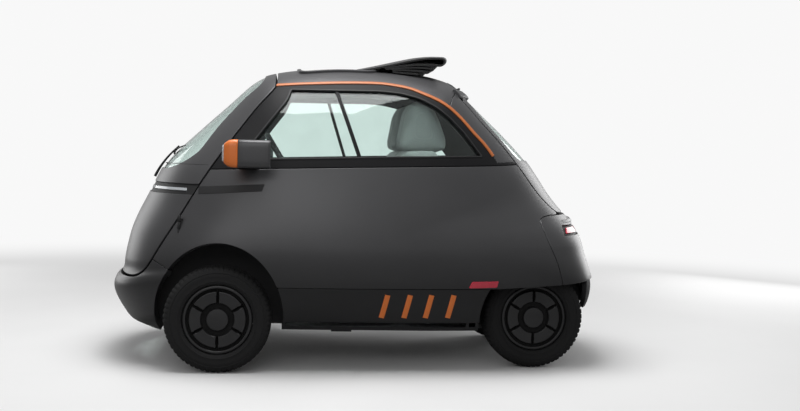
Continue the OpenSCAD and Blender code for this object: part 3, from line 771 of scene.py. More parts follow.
# %% Roof, bumper and tail panels
roof_hole = rounded(np.array([(-.06, -.28), (.33, -.28), (.33, .28), (-.06, .28)]), .06)
hole_ring = spread(roof_hole)
hole_line = shell_line(np.column_stack([hole_ring, np.full(len(hole_ring), 1.0)]), (0, 0, 1), wrap)
bumper_low = .15

make_panel("roof_skin", "car_body", wrap, cuts(wrap, (roof_cut, -SEAM), (door_cut, GAP)) + hole_line + frame_cross,
    lambda p: on(p, roof_cut, -SEAM) & off(p, door_cut, GAP) & (p[:, 0] > frame_end)
    & ~((p[:, 2] > 1.2) & within(p[:, :2], roof_hole)), PAINTED, "body_paint", "roof")

make_panel("bumper_skin", "car_body", wrap,
    cuts(wrap, (bumper_cut, -SEAM), (door_cut, GAP), (front_arch, 0)) + straight(-FAR, bumper_low, FAR, bumper_low),
    lambda p: on(p, bumper_cut, -SEAM) & off(p, door_cut, GAP) & off(p, front_arch) & (p[:, 2] > bumper_low),
    [grey_paint, black_plastic], "body_paint", "front_bumper")

make_panel("tail_skin", "car_body", wrap, cuts(wrap, (tail_cut, -SEAM), (slot_tail, 0))
    + side_line(foot_line, wrap, closed=False) + tail_line(hatch_big, wrap),
    lambda p: on(p, tail_cut, -SEAM) & (p[:, 2] > foot(p)) & off(p, slot_tail) & ~in_tail(p, hatch_big)
    & (p[:, 2] < .7725), [grey_paint, black_plastic], "body_paint", "rear_panel")

# %% [markdown]
# ## The front door and the hatch
# The whole nose is the door, hinged at the car's left, with the windshield set into it and a
# slot for the light bar across its face. The hatch is the rear window and the panel under it.

# %% Door and hatch
make_panel("door_skin", "door", wrap, cuts(wrap, (door_cut, -GAP), (windshield_cut, 0), (slot_front, 0)),
    lambda p: on(p, door_cut, -GAP) & off(p, windshield_cut) & off(p, slot_front),
    PAINTED, "body_paint", "front_door")

make_panel("hatch_skin", "hatch", wrap, tail_line(hatch_small, wrap) + tail_line(rear_glass_cut, wrap)
    + straight(hatch_end, .2, hatch_end, 1.7),
    lambda p: in_tail(p, hatch_small, hatch_end) & ~in_tail(p, rear_glass_cut),
    PAINTED, "body_paint", "rear_hatch")

# %% [markdown]
# ## Glass
# Each pane is 5 mm thick and sits 7 mm below the skin, with a hair of clearance to its frame.
# The windshield reaches to the door's edges at the top.

# %% Panes
pane = dict(depth=.007, wall=.005, edge=.0012, net=.03, longest=.014)
PANE_FIT = -.0005
for side, name in SIDES:
    make_panel(f"side_glass_{name}", "car_body", flanks[side], cuts(flanks[side], (window_cut, PANE_FIT)),
        lambda p: on(p, window_cut, PANE_FIT), clear_glass, "glass", f"side_window_{name}", **pane)
door_inside = grown(door_cut, -GAP - .001)
make_panel("windshield_glass", "door", wrap, cuts(wrap, (windshield_cut, PANE_FIT), (door_inside, 0)),
    lambda p: on(p, windshield_cut, PANE_FIT) & on(p, door_inside), clear_glass, "glass", "windshield", **pane)
rear_pane = grown(rear_glass_cut, PANE_FIT)
make_panel("rear_glass", "hatch", wrap, tail_line(rear_pane, wrap), lambda p: in_tail(p, rear_pane),
    clear_glass, "glass", "rear_window", **pane)

# %% [markdown]
# ## Strips, seals and trims
# Long thin parts such as the orange roof strip and the rubber lips are extrusions laid along a
# line. A short cross-section is carried along the line, always standing on the shell's normal.
# A net of rings, joined ring to ring, is the base of every such part and of the turned ones.

# %% Strip maker
def net_faces(rings, cols, closed=False):
    """Faces between rings of points; an open run of rings gets a cap at each end."""
    faces = [(i * cols + j, i * cols + (j + 1) % cols, (i + 1) % rings * cols + (j + 1) % cols,
        (i + 1) % rings * cols + j) for i in range(rings if closed else rings - 1) for j in range(cols)]
    if not closed:
        faces += [tuple(range(cols))[::-1], tuple((rings - 1) * cols + j for j in range(cols))]
    return faces


def finished(name, points, faces, body, finish, crisp=50, replaced=None, slots=None):
    """A piece whose faces point outward and whose edges sharper than an angle stay crisp."""
    piece = new_piece(name, points, faces, body, finish, slots=slots)
    net = bmesh.new()
    net.from_mesh(piece.data)
    bmesh.ops.recalc_face_normals(net, faces=net.faces)
    net.to_mesh(piece.data)
    net.free()
    piece.data.set_sharp_from_angle(angle=math.radians(crisp))
    if replaced:
        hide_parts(replaced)
    return piece


def laid_strip(name, body, path, width, height, finish, sunk=.0015, closed=False, crown=.0006,
        lift=0.0, taper=0):
    p = np.array(path)
    n = outward(p)
    t = np.roll(p, -1, 0) - np.roll(p, 1, 0) if closed else np.gradient(p, axis=0)
    side = np.cross(n, t)
    side /= np.linalg.norm(side, axis=1)[:, None] + 1e-12
    w, e = width / 2, min(height, width / 2) * .45
    shape = [(-w, -sunk), (-w, height - e), (-w + e * .3, height - e * .3), (-w + e, height), (0, height + crown),
        (w - e, height), (w - e * .3, height - e * .3), (w, height - e), (w, -sunk)]
    m = len(p)
    low_end = [max(0, 1 - min(i, m - 1 - i) / taper) ** 2 if taper else 0 for i in range(m)]
    points = np.vstack([q + side[i] * a + n[i] * (b + lift - low_end[i] * (height + .002))
        for i, q in enumerate(p) for a, b in shape])
    return finished(name, points, net_faces(m, len(shape), closed), body, finish, 40)


def shell_path(points, side, step=.01):
    return flank(*spread(np.array(points), step, closed=False).T, side)


def across_line(x, half, z, way, count=60):
    """A level line across the car, carried on to the shell."""
    return hit(np.stack([np.full(count, x), np.linspace(-half, half, count), np.full(count, z)], 1), way)


# %% [markdown]
# On each side there are the orange strip, the lip of the window, the bar that divides it, the
# dark band that carries on the light bar's line, and the red reflector ahead of the rear wheel.
# A frame runs round the roof opening, a seam under the windshield and a lip over the hatch.

# %% Strips of this car
for side, name in SIDES:
    laid_strip(f"orange_strip_{name}", "car_body", shell_path(strip_line, side), .021, .0045, orange_line)
    edge = flank(*eased_loop(flanks[side], grown(window_cut, -.002)).T, side)
    laid_strip(f"window_seal_{name}", "car_body", edge, .008, .002, black_plastic, sunk=.008,
        closed=True)
    post = shell_path([(.152, 1.369), (.034, 1.026)], side)
    laid_strip(f"window_divider_{name}", "car_body", post - outward(post) * .007, .017, .002, gloss_black,
        sunk=.010)
    band = rounded([(.800, .879), (.800, .843), (.499, .865), (.486, .900)], .004, .002)
    make_panel(f"side_band_{name}", "car_body", flanks[side], cuts(flanks[side], (band, 0)),
        lambda p: on(p, band), black_plastic, "black_paint", depth=-.0016, wall=.003, edge=.001)
    lamp = rounded([(-.518, .452), (-.651, .455), (-.643, .424), (-.502, .420)], .005, .003)
    make_panel(f"side_reflector_{name}", "car_body", flanks[side], cuts(flanks[side], (lamp, 0)),
        lambda p: on(p, lamp), red_lens, "red_lens", depth=-.004, wall=.007, edge=.002)
above = np.full((len(hole_ring), 1), 1.1)
on_edge = hit(np.hstack([hole_ring, above]), (0, 0, 1))
on_crown = hit(np.hstack([hole_ring * [1, 0], above]), (0, 0, 1))
rise = np.clip(on_crown[:, 2] - on_edge[:, 2] - .003, .0005, .012)
laid_strip("roof_opening_frame", "car_body", on_edge + outward(on_edge) * (rise - .004)[:, None], .020, .004,
    grey_paint, sunk=.012, closed=True, crown=.001)
fan = np.radians(np.linspace(-80, 80, 161))
base_seam = np.vstack([hit([(.3, 0, .982)], (math.cos(t), math.sin(t), 0)) for t in fan])
laid_strip("windshield_base_seam", "door", base_seam[on(base_seam, door_cut, -GAP - .008)], .003, .0003,
    black_plastic, sunk=.001, crown=0)
laid_strip("hatch_lip", "hatch", across_line(-.30, .31, 1.375, (-1, 0, 0)), .052, .012, grey_paint,
    sunk=.003, crown=.002)
print("strips laid")

# %% [markdown]
# The light bar is one dark recess across the nose with a narrow bright line in it. The tail
# lamp is built the same way, with a red lens in a black frame, under a small painted shade.

# %% Light bars
def inset_panel(name, body, outline, finish, slot, replaced, depth, wall, limit=None):
    inside = (lambda p: on(p, outline) & on(p, limit)) if limit is not None else (lambda p: on(p, outline))
    limits = [(limit, 0)] if limit is not None else []
    make_panel(name, body, wrap, cuts(wrap, (outline, 0), *limits), inside, finish, slot, replaced,
        depth=depth, wall=wall, edge=.0015)


inset_panel("front_light_recess", "door", grown(slot_front, -.0006), black_plastic, "black_paint",
    "front_light_bar", .006, .028, door_inside)
led = np.array([(.862, .857), (FAR, .857), (FAR, .870), (.862, .870)])
inset_panel("front_light_line", "door", led, clear_lens, "clear_lens", (), .0025, .006, door_inside)
inset_panel("tail_lamp_frame", "car_body", grown(slot_tail, -.0006), black_plastic, "black_paint",
    "tail_light_bar", .009, .02)
lens = np.array([(-1.036, .685), (-1.042, .711), (-FAR, .711), (-FAR, .685)])
inset_panel("tail_lamp_lens", "car_body", lens, red_lens, "red_lens", (), .003, .010)
laid_strip("tail_lamp_shade", "car_body", across_line(-.6, .44, .739, (-1, 0, 0)), .022, .007, grey_paint,
    sunk=.004, crown=.001, taper=14)

# %% [markdown]
# ## Lower black parts
# Below the painted flank a black sill runs between the wheels, and a black apron closes the
# tail. Both sit a few millimetres inside the paint line, so the paint has a clean lower edge.
# Four plain slanted orange bars are painted on each sill.

# %% Sills and apron
sill_low = float(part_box("sill_left")[0].z)
sill_rear, sill_front, apron_front, apron_low = -.66, .54, -1.16, .29
sill_lines = [np.array([(-1, z), (1, z)]) for z in (sill_top - SEAM, sill_low)]
sill_lines += [np.array([(x, .1), (x, .6)]) for x in (sill_rear, sill_front)] + [spread(front_arch), spread(rear_arch)]
for side, name in SIDES:
    make_panel(f"sill_{name}_skin", "car_body", flanks[side], sill_lines,
        lambda p: (p[:, 2] < sill_top - SEAM) & (p[:, 2] > sill_low) & (p[:, 0] > sill_rear)
        & (p[:, 0] < sill_front) & off(p, front_arch) & off(p, rear_arch),
        [lower_black, black_plastic], "dark_plastic", f"sill_{name}", depth=.006, edge=.006)
    for k, at in enumerate((-.095, -.205, -.31, -.42)):
        laid_strip(f"sill_bar_{k}_{name}", "car_body", shell_path([(at + .013, .270), (at - .013, .384)], side, .006),
            .026, .0012, orange_trim, lift=-.006)
make_panel("apron_skin", "car_body", wrap, straight(-2, apron_low, -.5, apron_low)
    + side_line(foot_line - (0, SEAM), wrap, closed=False) + straight(apron_front, .1, apron_front, .8),
    lambda p: (p[:, 2] > apron_low) & (p[:, 2] < foot(p) - SEAM) & (p[:, 0] < apron_front),
    black_plastic, "dark_plastic", "rear_apron", depth=.010, wall=.026, edge=.004)

# %% [markdown]
# ## Wheels
# A tyre is turned on a lathe. It starts as its cross-section and gets its tread in the turning:
# four grooves run round it and short cross grooves open at the shoulders.

# %% Tyre
def full_turn(steps):
    return np.linspace(0, 2 * math.pi, steps, endpoint=False)


def each_wheel():
    """Every wheel's end, side, box and middle, from its CAD tyre."""
    for end in ("front", "rear"):
        for side, name in SIDES:
            low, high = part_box(f"{end}_tyre_{name}")
            yield end, name, side, high - low, (low + high) / 2


def lathe(centre, side, r, y, a):
    """Points at radii r and heights y, turned through the angles a round the axle."""
    spots = np.stack([r * np.cos(a), np.broadcast_to(side * y, r.shape), r * np.sin(a)], 2)
    return (spots + np.array(centre)).reshape(-1, 3)


def tyre_section(outer, bead, half):
    crown = half - .034
    right = [(bead, half - .012), (bead + .006, half - .006), (bead + .012, half - .004), (bead + .016, half - .0005),
        (bead + .02, half - .0025), (bead + .036, half), (bead + .05, half), (bead + .053, half - .0018),
        (bead + .056, half), (outer - .024, half - .003), (outer - .014, half - .006), (outer - .008, half - .012),
        (outer - .004, half - .018), (outer - .0015, half - .026), (outer, crown)]
    middle = [(outer - (.006 if min(abs(abs(y) - .010), abs(abs(y) - .029)) < .0024 else 0), y)
        for y in np.linspace(crown - .002, -crown + .002, 25)]
    return np.array(right + middle + [(r, -y) for r, y in right[::-1]])


BEAD_R, TYRE_STEPS = .1675, 360
for end, name, side, size, centre in each_wheel():
    section = tyre_section(size.z / 2, BEAD_R, size.y / 2)
    shoulder_part = (section[:, 0] > .235) & (np.abs(section[:, 1]) > .033)
    a = full_turn(TYRE_STEPS)[:, None]
    radii = section[:, 0] - .0045 * ((a * 60 / (2 * math.pi)) % 1 < .3) * shoulder_part
    finished(f"tyre_{end}_{name}", lathe(centre, side, radii, section[:, 1], a),
        net_faces(TYRE_STEPS, len(section), closed=True), f"{end}_{name}_wheel", tyre_rubber,
        replaced=f"{end}_tyre_{name}")
print("tyres turned")

# %% [markdown]
# The black cover is a disc whose height changes with radius and angle: a rim, six flat pads
# with ribs between them, and a plain round cap. The same net of rings carries on over the rim's
# edge and down its barrel to the back. The deepest parts of the cover get a near-black painted
# shade, for the shade that falls into them.

# %% Wheel and cover
def eased(x, a, b):
    t = np.clip((x - a) / (b - a), 0, 1)
    return t * t * (3 - 2 * t)


def cover_height(r, a):
    """How far the cover stands out, by radius and angle, from the rim's outer plane."""
    slot_near = np.abs(np.degrees(a) % 60 - 30)
    pad = eased(r, .076, .081) * (1 - eased(r, .132, .137)) * eased(slot_near * r, .24, .38)
    rib = eased(r, .07, .08) * (1 - eased(r, .140, .148)) * (1 - eased(slot_near * r, .07, .13))
    rim = eased(r, .146, .150) * (1 - .35 * eased(r, .160, .166))
    cap = 1 - eased(r, .050, .054)
    return -.024 + .020 * pad + .009 * rib + .024 * rim + cap * (.022 + .004 * np.cos(np.clip(r / .054, 0, 1) * 1.57))


COVER_STEPS, COVER_OUT, DEEP = 240, .060, -.0145
rs = np.unique(np.concatenate([np.linspace(.004, .166, 40)] + [np.linspace(*ends, 5)
    for ends in ((.049, .055), (.075, .082), (.131, .138), (.145, .151))]))
a = full_turn(COVER_STEPS)
barrel = np.array([(.1668, .058), (.1668, -.058), (.160, -.058), (.158, -.02), (.150, .02), (.05, .025)])
heights = np.vstack([COVER_OUT + cover_height(rs[:, None], a), np.repeat(barrel[:, 1:], COVER_STEPS, 1)])
radii = np.repeat(np.concatenate([rs, barrel[:, 0]])[:, None], COVER_STEPS, 1)
cover_faces = net_faces(len(radii), COVER_STEPS)
# Faces deeper than DEEP get the painted shade finish.
low_face = cover_height((rs[:-1, None] + rs[1:, None]) / 2, a + math.pi / COVER_STEPS) < DEEP
deep = np.zeros(len(cover_faces), int)
deep[:low_face.size] = low_face.ravel()
for end, name, side, size, centre in each_wheel():
    finished(f"wheel_{end}_{name}", lathe(centre, side, radii, heights, a), cover_faces, f"{end}_{name}_wheel",
        [black_alloy, wheel_shadow], 45, f"{end}_wheel_{name}", deep)
print("wheels made")

# %% [markdown]
# ## Mirror and headlamp pods
# Each pod is a rounded box on a short arm. Its front third is an orange cap with the headlamp
# glass in its face, and its rear end is the mirror. The sections along its length are rounded
# squares, so the box has flat sides with soft edges.

# %% Pods
def squared(wave, power):
    return np.sign(wave) * np.abs(wave) ** power


def lofted(name, sections, finish, power, way="x", replaced=None, steps=72):
    """A closed skin over rounded-square sections: (place, centre a, centre b, half a, half b)."""
    t = full_turn(steps)
    ca, sa = squared(np.cos(t), 2 / power), squared(np.sin(t), 2 / power)
    points = np.vstack([np.stack([np.full(steps, at), a + ha * ca, b + hb * sa], 1) for at, a, b, ha, hb in sections])
    return finished(name, points if way == "x" else points[:, [1, 0, 2]], net_faces(len(sections), steps),
        "car_body", finish, 40, replaced)


for side, name in SIDES:
    def at(z, *rows):
        return [(x, side * .735, z, half_y, half_z) for x, half_y, half_z in rows]

    lofted(f"pod_shell_{name}", at(1.041, (.476, .047, .054), (.474, .050, .057), (.466, .0535, .0615),
        (.463, .0545, .0625), (.465, .056, .064), (.475, .0575, .0650)) + at(1.0405, (.50, .0582, .0652))
        + at(1.040, (.56, .0588, .0655), (.609, .0589, .0655), (.6105, .0580, .0645), (.6105, .02, .02)),
        grey_paint, 5.5, replaced=f"mirror_pod_{name}")
    lofted(f"pod_mirror_{name}", at(1.041, (.4745, .02, .02), (.4745, .047, .054), (.4775, .047, .054),
        (.4775, .02, .02)), bare_alloy, 5.5)
    lofted(f"pod_cap_{name}", at(1.040, (.612, .02, .02), (.612, .0580, .0645), (.6135, .0589, .0655),
        (.628, .0587, .0652), (.645, .0580, .0635), (.656, .0550, .0595), (.665, .0505, .0540),
        (.672, .0455, .0480), (.6755, .0420, .0440), (.6750, .0400, .0420), (.6680, .0395, .0415),
        (.6680, .02, .02)), orange_trim, 5.5)
    lofted(f"pod_lamp_{name}", at(1.040, (.6685, .02, .02), (.6685, .0385, .0405), (.678, .038, .040),
        (.6835, .034, .036), (.685, .02, .022)), clear_lens, 5)
    root = float(flank([.57], [.985])[0, 1])
    lofted(f"pod_arm_{name}", [(side * (root - .01), .563, .992, .050, .017),
        (side * (root + .012), .563, .993, .044, .014), (side * (root + .035), .565, .996, .038, .012),
        (side * .69, .57, 1.006, .034, .011)],
        black_plastic, 3, way="y")
print("pods made")

# %% [markdown]
# ## Folded roof cloth
# The fabric roof is pushed back and lies in pleats behind its opening. It is one long sheet of
# lined canvas: fixed at the rear, it runs forward and back five times, and the top pleat ends
# in a rounded fold that stands up behind. One path holds all the pleats, and the sheet is that
# path carried across the roof, a little lower towards the sides, with soft creases.

# %% Path of the pleats
top_pleat = flowing([(.030, 1.4985), (-.020, 1.5095), (-.080, 1.5235), (-.176, 1.5480), (-.264, 1.5690),
    (-.345, 1.5800), (-.420, 1.5820)], steps=4)
deck = hit(np.stack([np.linspace(.06, -.45, 60), np.zeros(60), np.full(60, 1.2)], 1), (0, 0, 1))


def deck_height(x):
    return np.interp(-x, -deck[:, 0], deck[:, 2]) + .004


def pleat(front, rear, share, count=22):
    """A line between the roof and the top pleat, at a share of the height."""
    x = np.linspace(front, rear, count)
    low = deck_height(x)
    return np.stack([x, low + share * (np.interp(-x, -top_pleat[:, 0], top_pleat[:, 1]) - low)], 1)


def turn_round(a, b, bulge, count=7):
    """A round fold from one pleat's end to the next one's."""
    t = np.linspace(0, math.pi, count + 2)[1:-1]
    mid, half_step = (a + b) / 2, (b - a) / 2
    return np.stack([mid[0] - half_step[0] * np.cos(t) + bulge * np.sin(t), mid[1] - half_step[1] * np.cos(t)], 1)


runs = [pleat(*ends) for ends in ((-.150, -.282, .02), (-.150, -.336, .27), (-.110, -.372, .46),
    (-.110, -.410, .65), (.030, -.422, .975))]
runs = [run[::-1] if k % 2 == 0 else run for k, run in enumerate(runs)]
path = [runs[0]]
for bulge, before, after in zip((.004, -.014, .004, -.018), runs, runs[1:]):
    path += [turn_round(before[-1], after[0], bulge), after]
path = np.vstack(path)
run_at = np.concatenate([[0], np.cumsum(np.linalg.norm(np.diff(path, axis=0), axis=1))])
at = np.linspace(0, run_at[-1], 330)
path = np.stack([np.interp(at, run_at, path[:, 0]), np.interp(at, run_at, path[:, 1])], 1)
for _ in range(3):
    path[1:-1] = path[1:-1] * .5 + (path[:-2] + path[2:]) * .25

# %% [markdown]
# The cloth has two faces 5.5 mm apart with a thicker hem, because a roof cloth has a lining.
# The creases are a few soft waves that differ from place to place.

# %% Cloth
half_cloth, cloth_thick, cols = .262, .0055, 45
rows = len(at)
side_drop = (across_line(-.15, half_cloth, 1.2, (0, 0, 1), cols)[:, 2] - deck_height(np.array([-.15])) + .004) * .8
along = np.gradient(path, axis=0)
along /= np.linalg.norm(along, axis=1)[:, None]
normal = np.stack([-along[:, 1], along[:, 0]], 1)
rng = np.random.default_rng(4)
waves = [(rng.uniform(8, 30), rng.uniform(4, 22), rng.uniform(0, 6.28), rng.uniform(.3, 1)) for _ in range(9)]
points = []
for face in (1, -1):
    for drop, y in zip(side_drop, np.linspace(-half_cloth, half_cloth, cols)):
        crease = sum(k * np.sin(a * y + b * at + c) for a, b, c, k in waves) / 5 * .0022
        hem = .0014 * max(0, 1 - (half_cloth - abs(y)) / .012)
        off_line = path + normal * (crease + face * (cloth_thick / 2 + hem))[:, None]
        pull_in = .020 * (abs(y) / half_cloth) ** 6
        x = off_line[:, 0] + pull_in * np.clip((-off_line[:, 0] - .25) / .15, 0, 1)
        points.append(np.stack([x, np.full(rows, y), off_line[:, 1] + drop], 1))
index = np.arange(cols * rows).reshape(cols, rows)
upper = np.stack([index[:-1, :-1], index[:-1, 1:], index[1:, 1:], index[1:, :-1]], 2).reshape(-1, 4)
border = np.concatenate([index[:, 0], index[-1, 1:], index[-2::-1, -1], index[0, -2:0:-1]])
ahead = np.roll(border, -1)
faces = np.vstack([upper, upper[:, ::-1] + cols * rows,
    np.stack([border, ahead, ahead + cols * rows, border + cols * rows], 1)])
canvas = finished("roof_canvas", np.vstack(points), faces, "car_body", roof_cloth, 60, "folded_roof")

# %% [markdown]
# ## Seats
# Each of the two seats has a padded cushion, a padded back and a head pad. A pad starts as a
# slightly smaller rounded block and is blown up with cloth simulation, so that its faces crown
# and its sides pull in between the corners. Sewn channels are pressed in afterwards.

# %% Padded block
def within_by(points, by):
    """A closed outline moved inward."""
    p = np.array(points)
    t = np.roll(p, -1, 0) - np.roll(p, 1, 0)
    t /= np.linalg.norm(t, axis=1)[:, None] + 1e-12
    area = np.sum(p[:, 0] * np.roll(p[:, 1], -1) - np.roll(p[:, 0], -1) * p[:, 1])
    return p + np.stack([-t[:, 1], t[:, 0]], 1) * (by if area > 0 else -by)


def apply_all(piece):
    graph = bpy.context.evaluated_depsgraph_get()
    mesh = bpy.data.meshes.new_from_object(piece.evaluated_get(graph))
    piece.modifiers.clear()
    old, piece.data = piece.data, mesh
    bpy.data.meshes.remove(old)


def read_points(piece, what="co"):
    values = np.empty(len(piece.data.vertices) * 3)
    piece.data.vertices.foreach_get(what, values)
    return values.reshape(-1, 3)


def blow_up(pad, cap, frames=20):
    """Lets air pressure move the skin, by no more than the cap."""
    start = read_points(pad)
    cloth = pad.modifiers.new("blow_up", "CLOTH")
    cloth.settings.use_pressure = True
    cloth.settings.uniform_pressure_force = 4
    cloth.settings.effector_weights.gravity = 0
    cloth.settings.quality = 4
    cloth.point_cache.frame_start, cloth.point_cache.frame_end = 1, frames
    for frame_number in range(1, frames + 1):
        bpy.context.scene.frame_set(frame_number)
    apply_all(pad)
    move = read_points(pad) - start
    far = np.linalg.norm(move, axis=1, keepdims=True)
    end = start + move * np.minimum(1, cap / np.maximum(far, 1e-9))
    pad.data.vertices.foreach_set("co", end.ravel())
    bpy.context.scene.frame_set(1)


def blown_pad(name, outline, low, high, replaced, channels, shrink=.010, cap=.016, voxel=.0115):
    """A pad whose side outline is (x, z) and which spans low..high in y."""
    p = within_by(rounded(outline, .035, .03), shrink)
    first, last, inset = low + shrink, high - shrink, within_by(p, .018)
    layers = [(first, inset), (first + .006, p * .35 + inset * .65), (first + .018, p), (last - .018, p),
        (last - .006, p * .35 + inset * .65), (last, inset)]
    points = np.vstack([np.stack([l[:, 0], np.full(len(p), y), l[:, 1]], 1) for y, l in layers])
    pad = finished(name, points, net_faces(len(layers), len(p)), "car_body", seat_cloth, 60, replaced)
    remesh = pad.modifiers.new("even_net", "REMESH")
    remesh.mode, remesh.voxel_size = "VOXEL", voxel
    apply_all(pad)
    blow_up(pad, cap)
    smooth = pad.modifiers.new("even_out", "SMOOTH")
    smooth.factor, smooth.iterations = .5, 3
    pad.modifiers.new("finer", "SUBSURF").levels = 1
    apply_all(pad)
    co, normals = read_points(pad), read_points(pad, "normal")
    for origin, axis, depth, width in channels:
        d = (co - np.array(origin)) @ np.array(axis)
        co = co - normals * (depth * np.exp(-(d / width) ** 2))[:, None]
    co[:, 1] = np.clip(co[:, 1], low + .001, high - .001)
    pad.data.vertices.foreach_set("co", co.ravel())
    pad.data.update()
    pad.data.shade_smooth()
    print(name, len(pad.data.polygons), "faces")


# %% [markdown]
# The seats share one bench frame, so their outlines are the same on both sides. A channel is
# given by a place, the way across it, its depth and its width.

# %% Seats
cushion_low, cushion_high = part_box("seat_cushion")
x0, x1, z0, z1 = cushion_low.x, cushion_high.x, cushion_low.z, cushion_high.z
for side, name in SIDES:
    low, high = sorted((side * .006, side * cushion_high.y))
    mid, head_mid = (low + high) / 2, side * .245
    sewn = [((0, mid + s * .15, 0), (0, 1, 0), .006, .007) for s in (-1, 1)]
    blown_pad(f"cushion_{name}", [(x1 - .004, z0 + .02), (x1, z1 - .045), (x1 - .05, z1 - .006),
        (x0 + .10, z1 - .022), (x0 + .002, z1 - .002), (x0 + .002, z0 + .004), (x1 - .03, z0 + .004)],
        low, high, "seat_cushion", sewn + [((x1 - .10, 0, 0), (1, 0, 0), .005, .007)])
    blown_pad(f"backrest_{name}", [(-.136, .420), (-.150, .700), (-.190, 1.068), (-.212, 1.102), (-.352, 1.104),
        (-.388, 1.056), (-.394, .800), (-.330, .420)], low, high, "seat_backrest",
        sewn + [((0, 0, z), (0, 0, 1), .004, .007) for z in (.66, .90)])
    blown_pad(f"head_pad_{name}", [(-.172, 1.075), (-.190, 1.16), (-.208, 1.268), (-.226, 1.326), (-.290, 1.338),
        (-.338, 1.322), (-.384, 1.238), (-.424, 1.130), (-.430, 1.075)], head_mid - .135, head_mid + .135,
        "seat_backrest", [((0, head_mid + s * .08, 0), (0, 1, 0), .004, .006) for s in (-1, 1)],
        shrink=.008, cap=.010, voxel=.0090)
print("seats made")

# %% [markdown]
# ## Steering wheel
# The wheel is a padded ring with three flat spokes and a rounded hub pad. It is set square to
# its column, whose place and slant come from the joint that turns it.

# %% Ring, spokes and hub
def swept(name, path, radii, body, finish, closed=False, steps=12, flat=1.0, up=(0, 0, 1), replaced=None):
    """A round or flattened bar along a path."""
    p = np.array(path, float)
    r = np.broadcast_to(np.array(radii, float), len(p))
    t = np.roll(p, -1, 0) - np.roll(p, 1, 0) if closed else np.gradient(p, axis=0)
    t /= np.linalg.norm(t, axis=1)[:, None]
    u = np.cross(np.array(up, float), t)
    u /= np.linalg.norm(u, axis=1)[:, None]
    v = np.cross(t, u)
    a = full_turn(steps)[:, None]
    points = np.vstack([q + r[i] * (np.cos(a) * u[i] + flat * np.sin(a) * v[i]) for i, q in enumerate(p)])
    return finished(name, points, net_faces(len(p), steps, closed), body, finish, replaced=replaced)


joints = {j["name"]: j for j in frame["joints"]}
hub = np.array(joints["helm_turn"]["pos_m"])
down = -np.array(joints["helm_turn"]["axis"]) / np.linalg.norm(joints["helm_turn"]["axis"])
right = np.array([0, 1.0, 0])
top = np.cross(right, down)
top *= np.sign(top[2])
wheel_low, wheel_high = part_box("steering_wheel")
ring_r = (wheel_high.y - wheel_low.y) / 2 - .016
a = full_turn(120)
ring_path = hub + ring_r * (np.cos(a)[:, None] * right + np.sin(a)[:, None] * top)
swept("steering_rim", ring_path, .0145 + .0007 * np.cos(a * 36), "helm", inner_plastic,
    closed=True, steps=14, up=down, replaced="steering_wheel")
for k, angle in enumerate(np.radians((-90, 30, 150))):
    reach = np.array([.026, .05, .09, .12, ring_r - .006])[:, None]
    swept(f"steering_spoke_{k}", hub + reach * (math.cos(angle) * right + math.sin(angle) * top),
        [.026, .021, .016, .015, .018], "helm", inner_plastic, steps=16, flat=.22, up=down)
t = full_turn(48)[:, None]
hub_rings = [(-.010, .030), (-.013, .034), (-.016, .036), (.010, .037), (.015, .034), (.016, .028)]
hub_points = np.vstack([hub - down * h + r * squared(np.cos(t), .7) * right + r * .86 * squared(np.sin(t), .7) * top
    for h, r in hub_rings])
finished("steering_hub", hub_points, net_faces(len(hub_rings), 48), "helm", inner_plastic)
print("steering wheel made")

# %% [markdown]
# ## Wiper and door hinge
# The wiper is an arm that tapers and a thin rubber blade, both lying just off the skin of the
# nose. The door hinge has three slim knuckles on one pin, standing in the shut gap, and each
# has a thin leaf that lies behind the skin of its own panel.

# %% Wiper and hinge
def over_nose(y0, y1, z0, z1, lift):
    """A line over the nose, lifted off the skin by as much as each place says."""
    s = np.linspace(0, 1, len(lift))
    p = hit(np.stack([np.full(len(s), .2), y0 + (y1 - y0) * s, z0 + (z1 - z0) * s], 1), (1, 0, 0))
    return p + outward(p) * lift[:, None]


swept("wiper_arm", over_nose(.06, .105, .905, 1.065, np.linspace(.012, .008, 14)), np.linspace(.0075, .004, 14),
    "door", black_plastic, flat=.7, up=(0, 1, 0), replaced="wiper")
blade_r = np.interp(np.linspace(0, 1, 26), [0, .1, .5, .9, 1], [.002, .003, .0045, .003, .002])
swept("wiper_blade", over_nose(-.16, .26, 1.012, 1.072, np.full(26, .004)), blade_r, "door", black_plastic,
    flat=1.4, up=(1, 0, 0))

hinge_low, hinge_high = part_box("door_hinge")
hinge_x, hinge_y = joints["door_swing"]["pos_m"][:2]
knuckle_high = (hinge_high.z - hinge_low.z) / 3
knuckle_play = .0008
t = full_turn(32)
for k, body in enumerate(("car_body", "door", "car_body")):
    z0 = hinge_low.z + k * knuckle_high + knuckle_play
    z1 = z0 + knuckle_high - 2 * knuckle_play
    rings = [(z0, .0045), (z0, .0065), (z0 + .001, .0073), (z1 - .001, .0073), (z1, .0065), (z1, .0045)]
    points = np.vstack([np.stack([hinge_x + r * np.cos(t), hinge_y + r * np.sin(t), np.full(32, z)], 1)
        for z, r in rings])
    finished(f"door_hinge_knuckle_{k}", points, net_faces(len(rings), 32), body, black_plastic, 40,
        "door_hinge_strap" if body == "door" else "door_hinge")
    way = 1 if body == "door" else -1
    leaf = flank(hinge_x + way * np.array([.006, .014, .026, .042]), np.full(4, (z0 + z1) / 2))
    leaf = np.vstack([(hinge_x + way * .003, hinge_y, (z0 + z1) / 2), leaf - outward(leaf) * .012])
    swept(f"door_hinge_leaf_{k}", leaf, .011, body, dark_steel, flat=.16)
print("wiper and hinge made")

# %% [markdown]
# ## Plain CAD parts
# Axles, knuckles, the column and the parts inside keep their construction shapes and get
# their finishes.

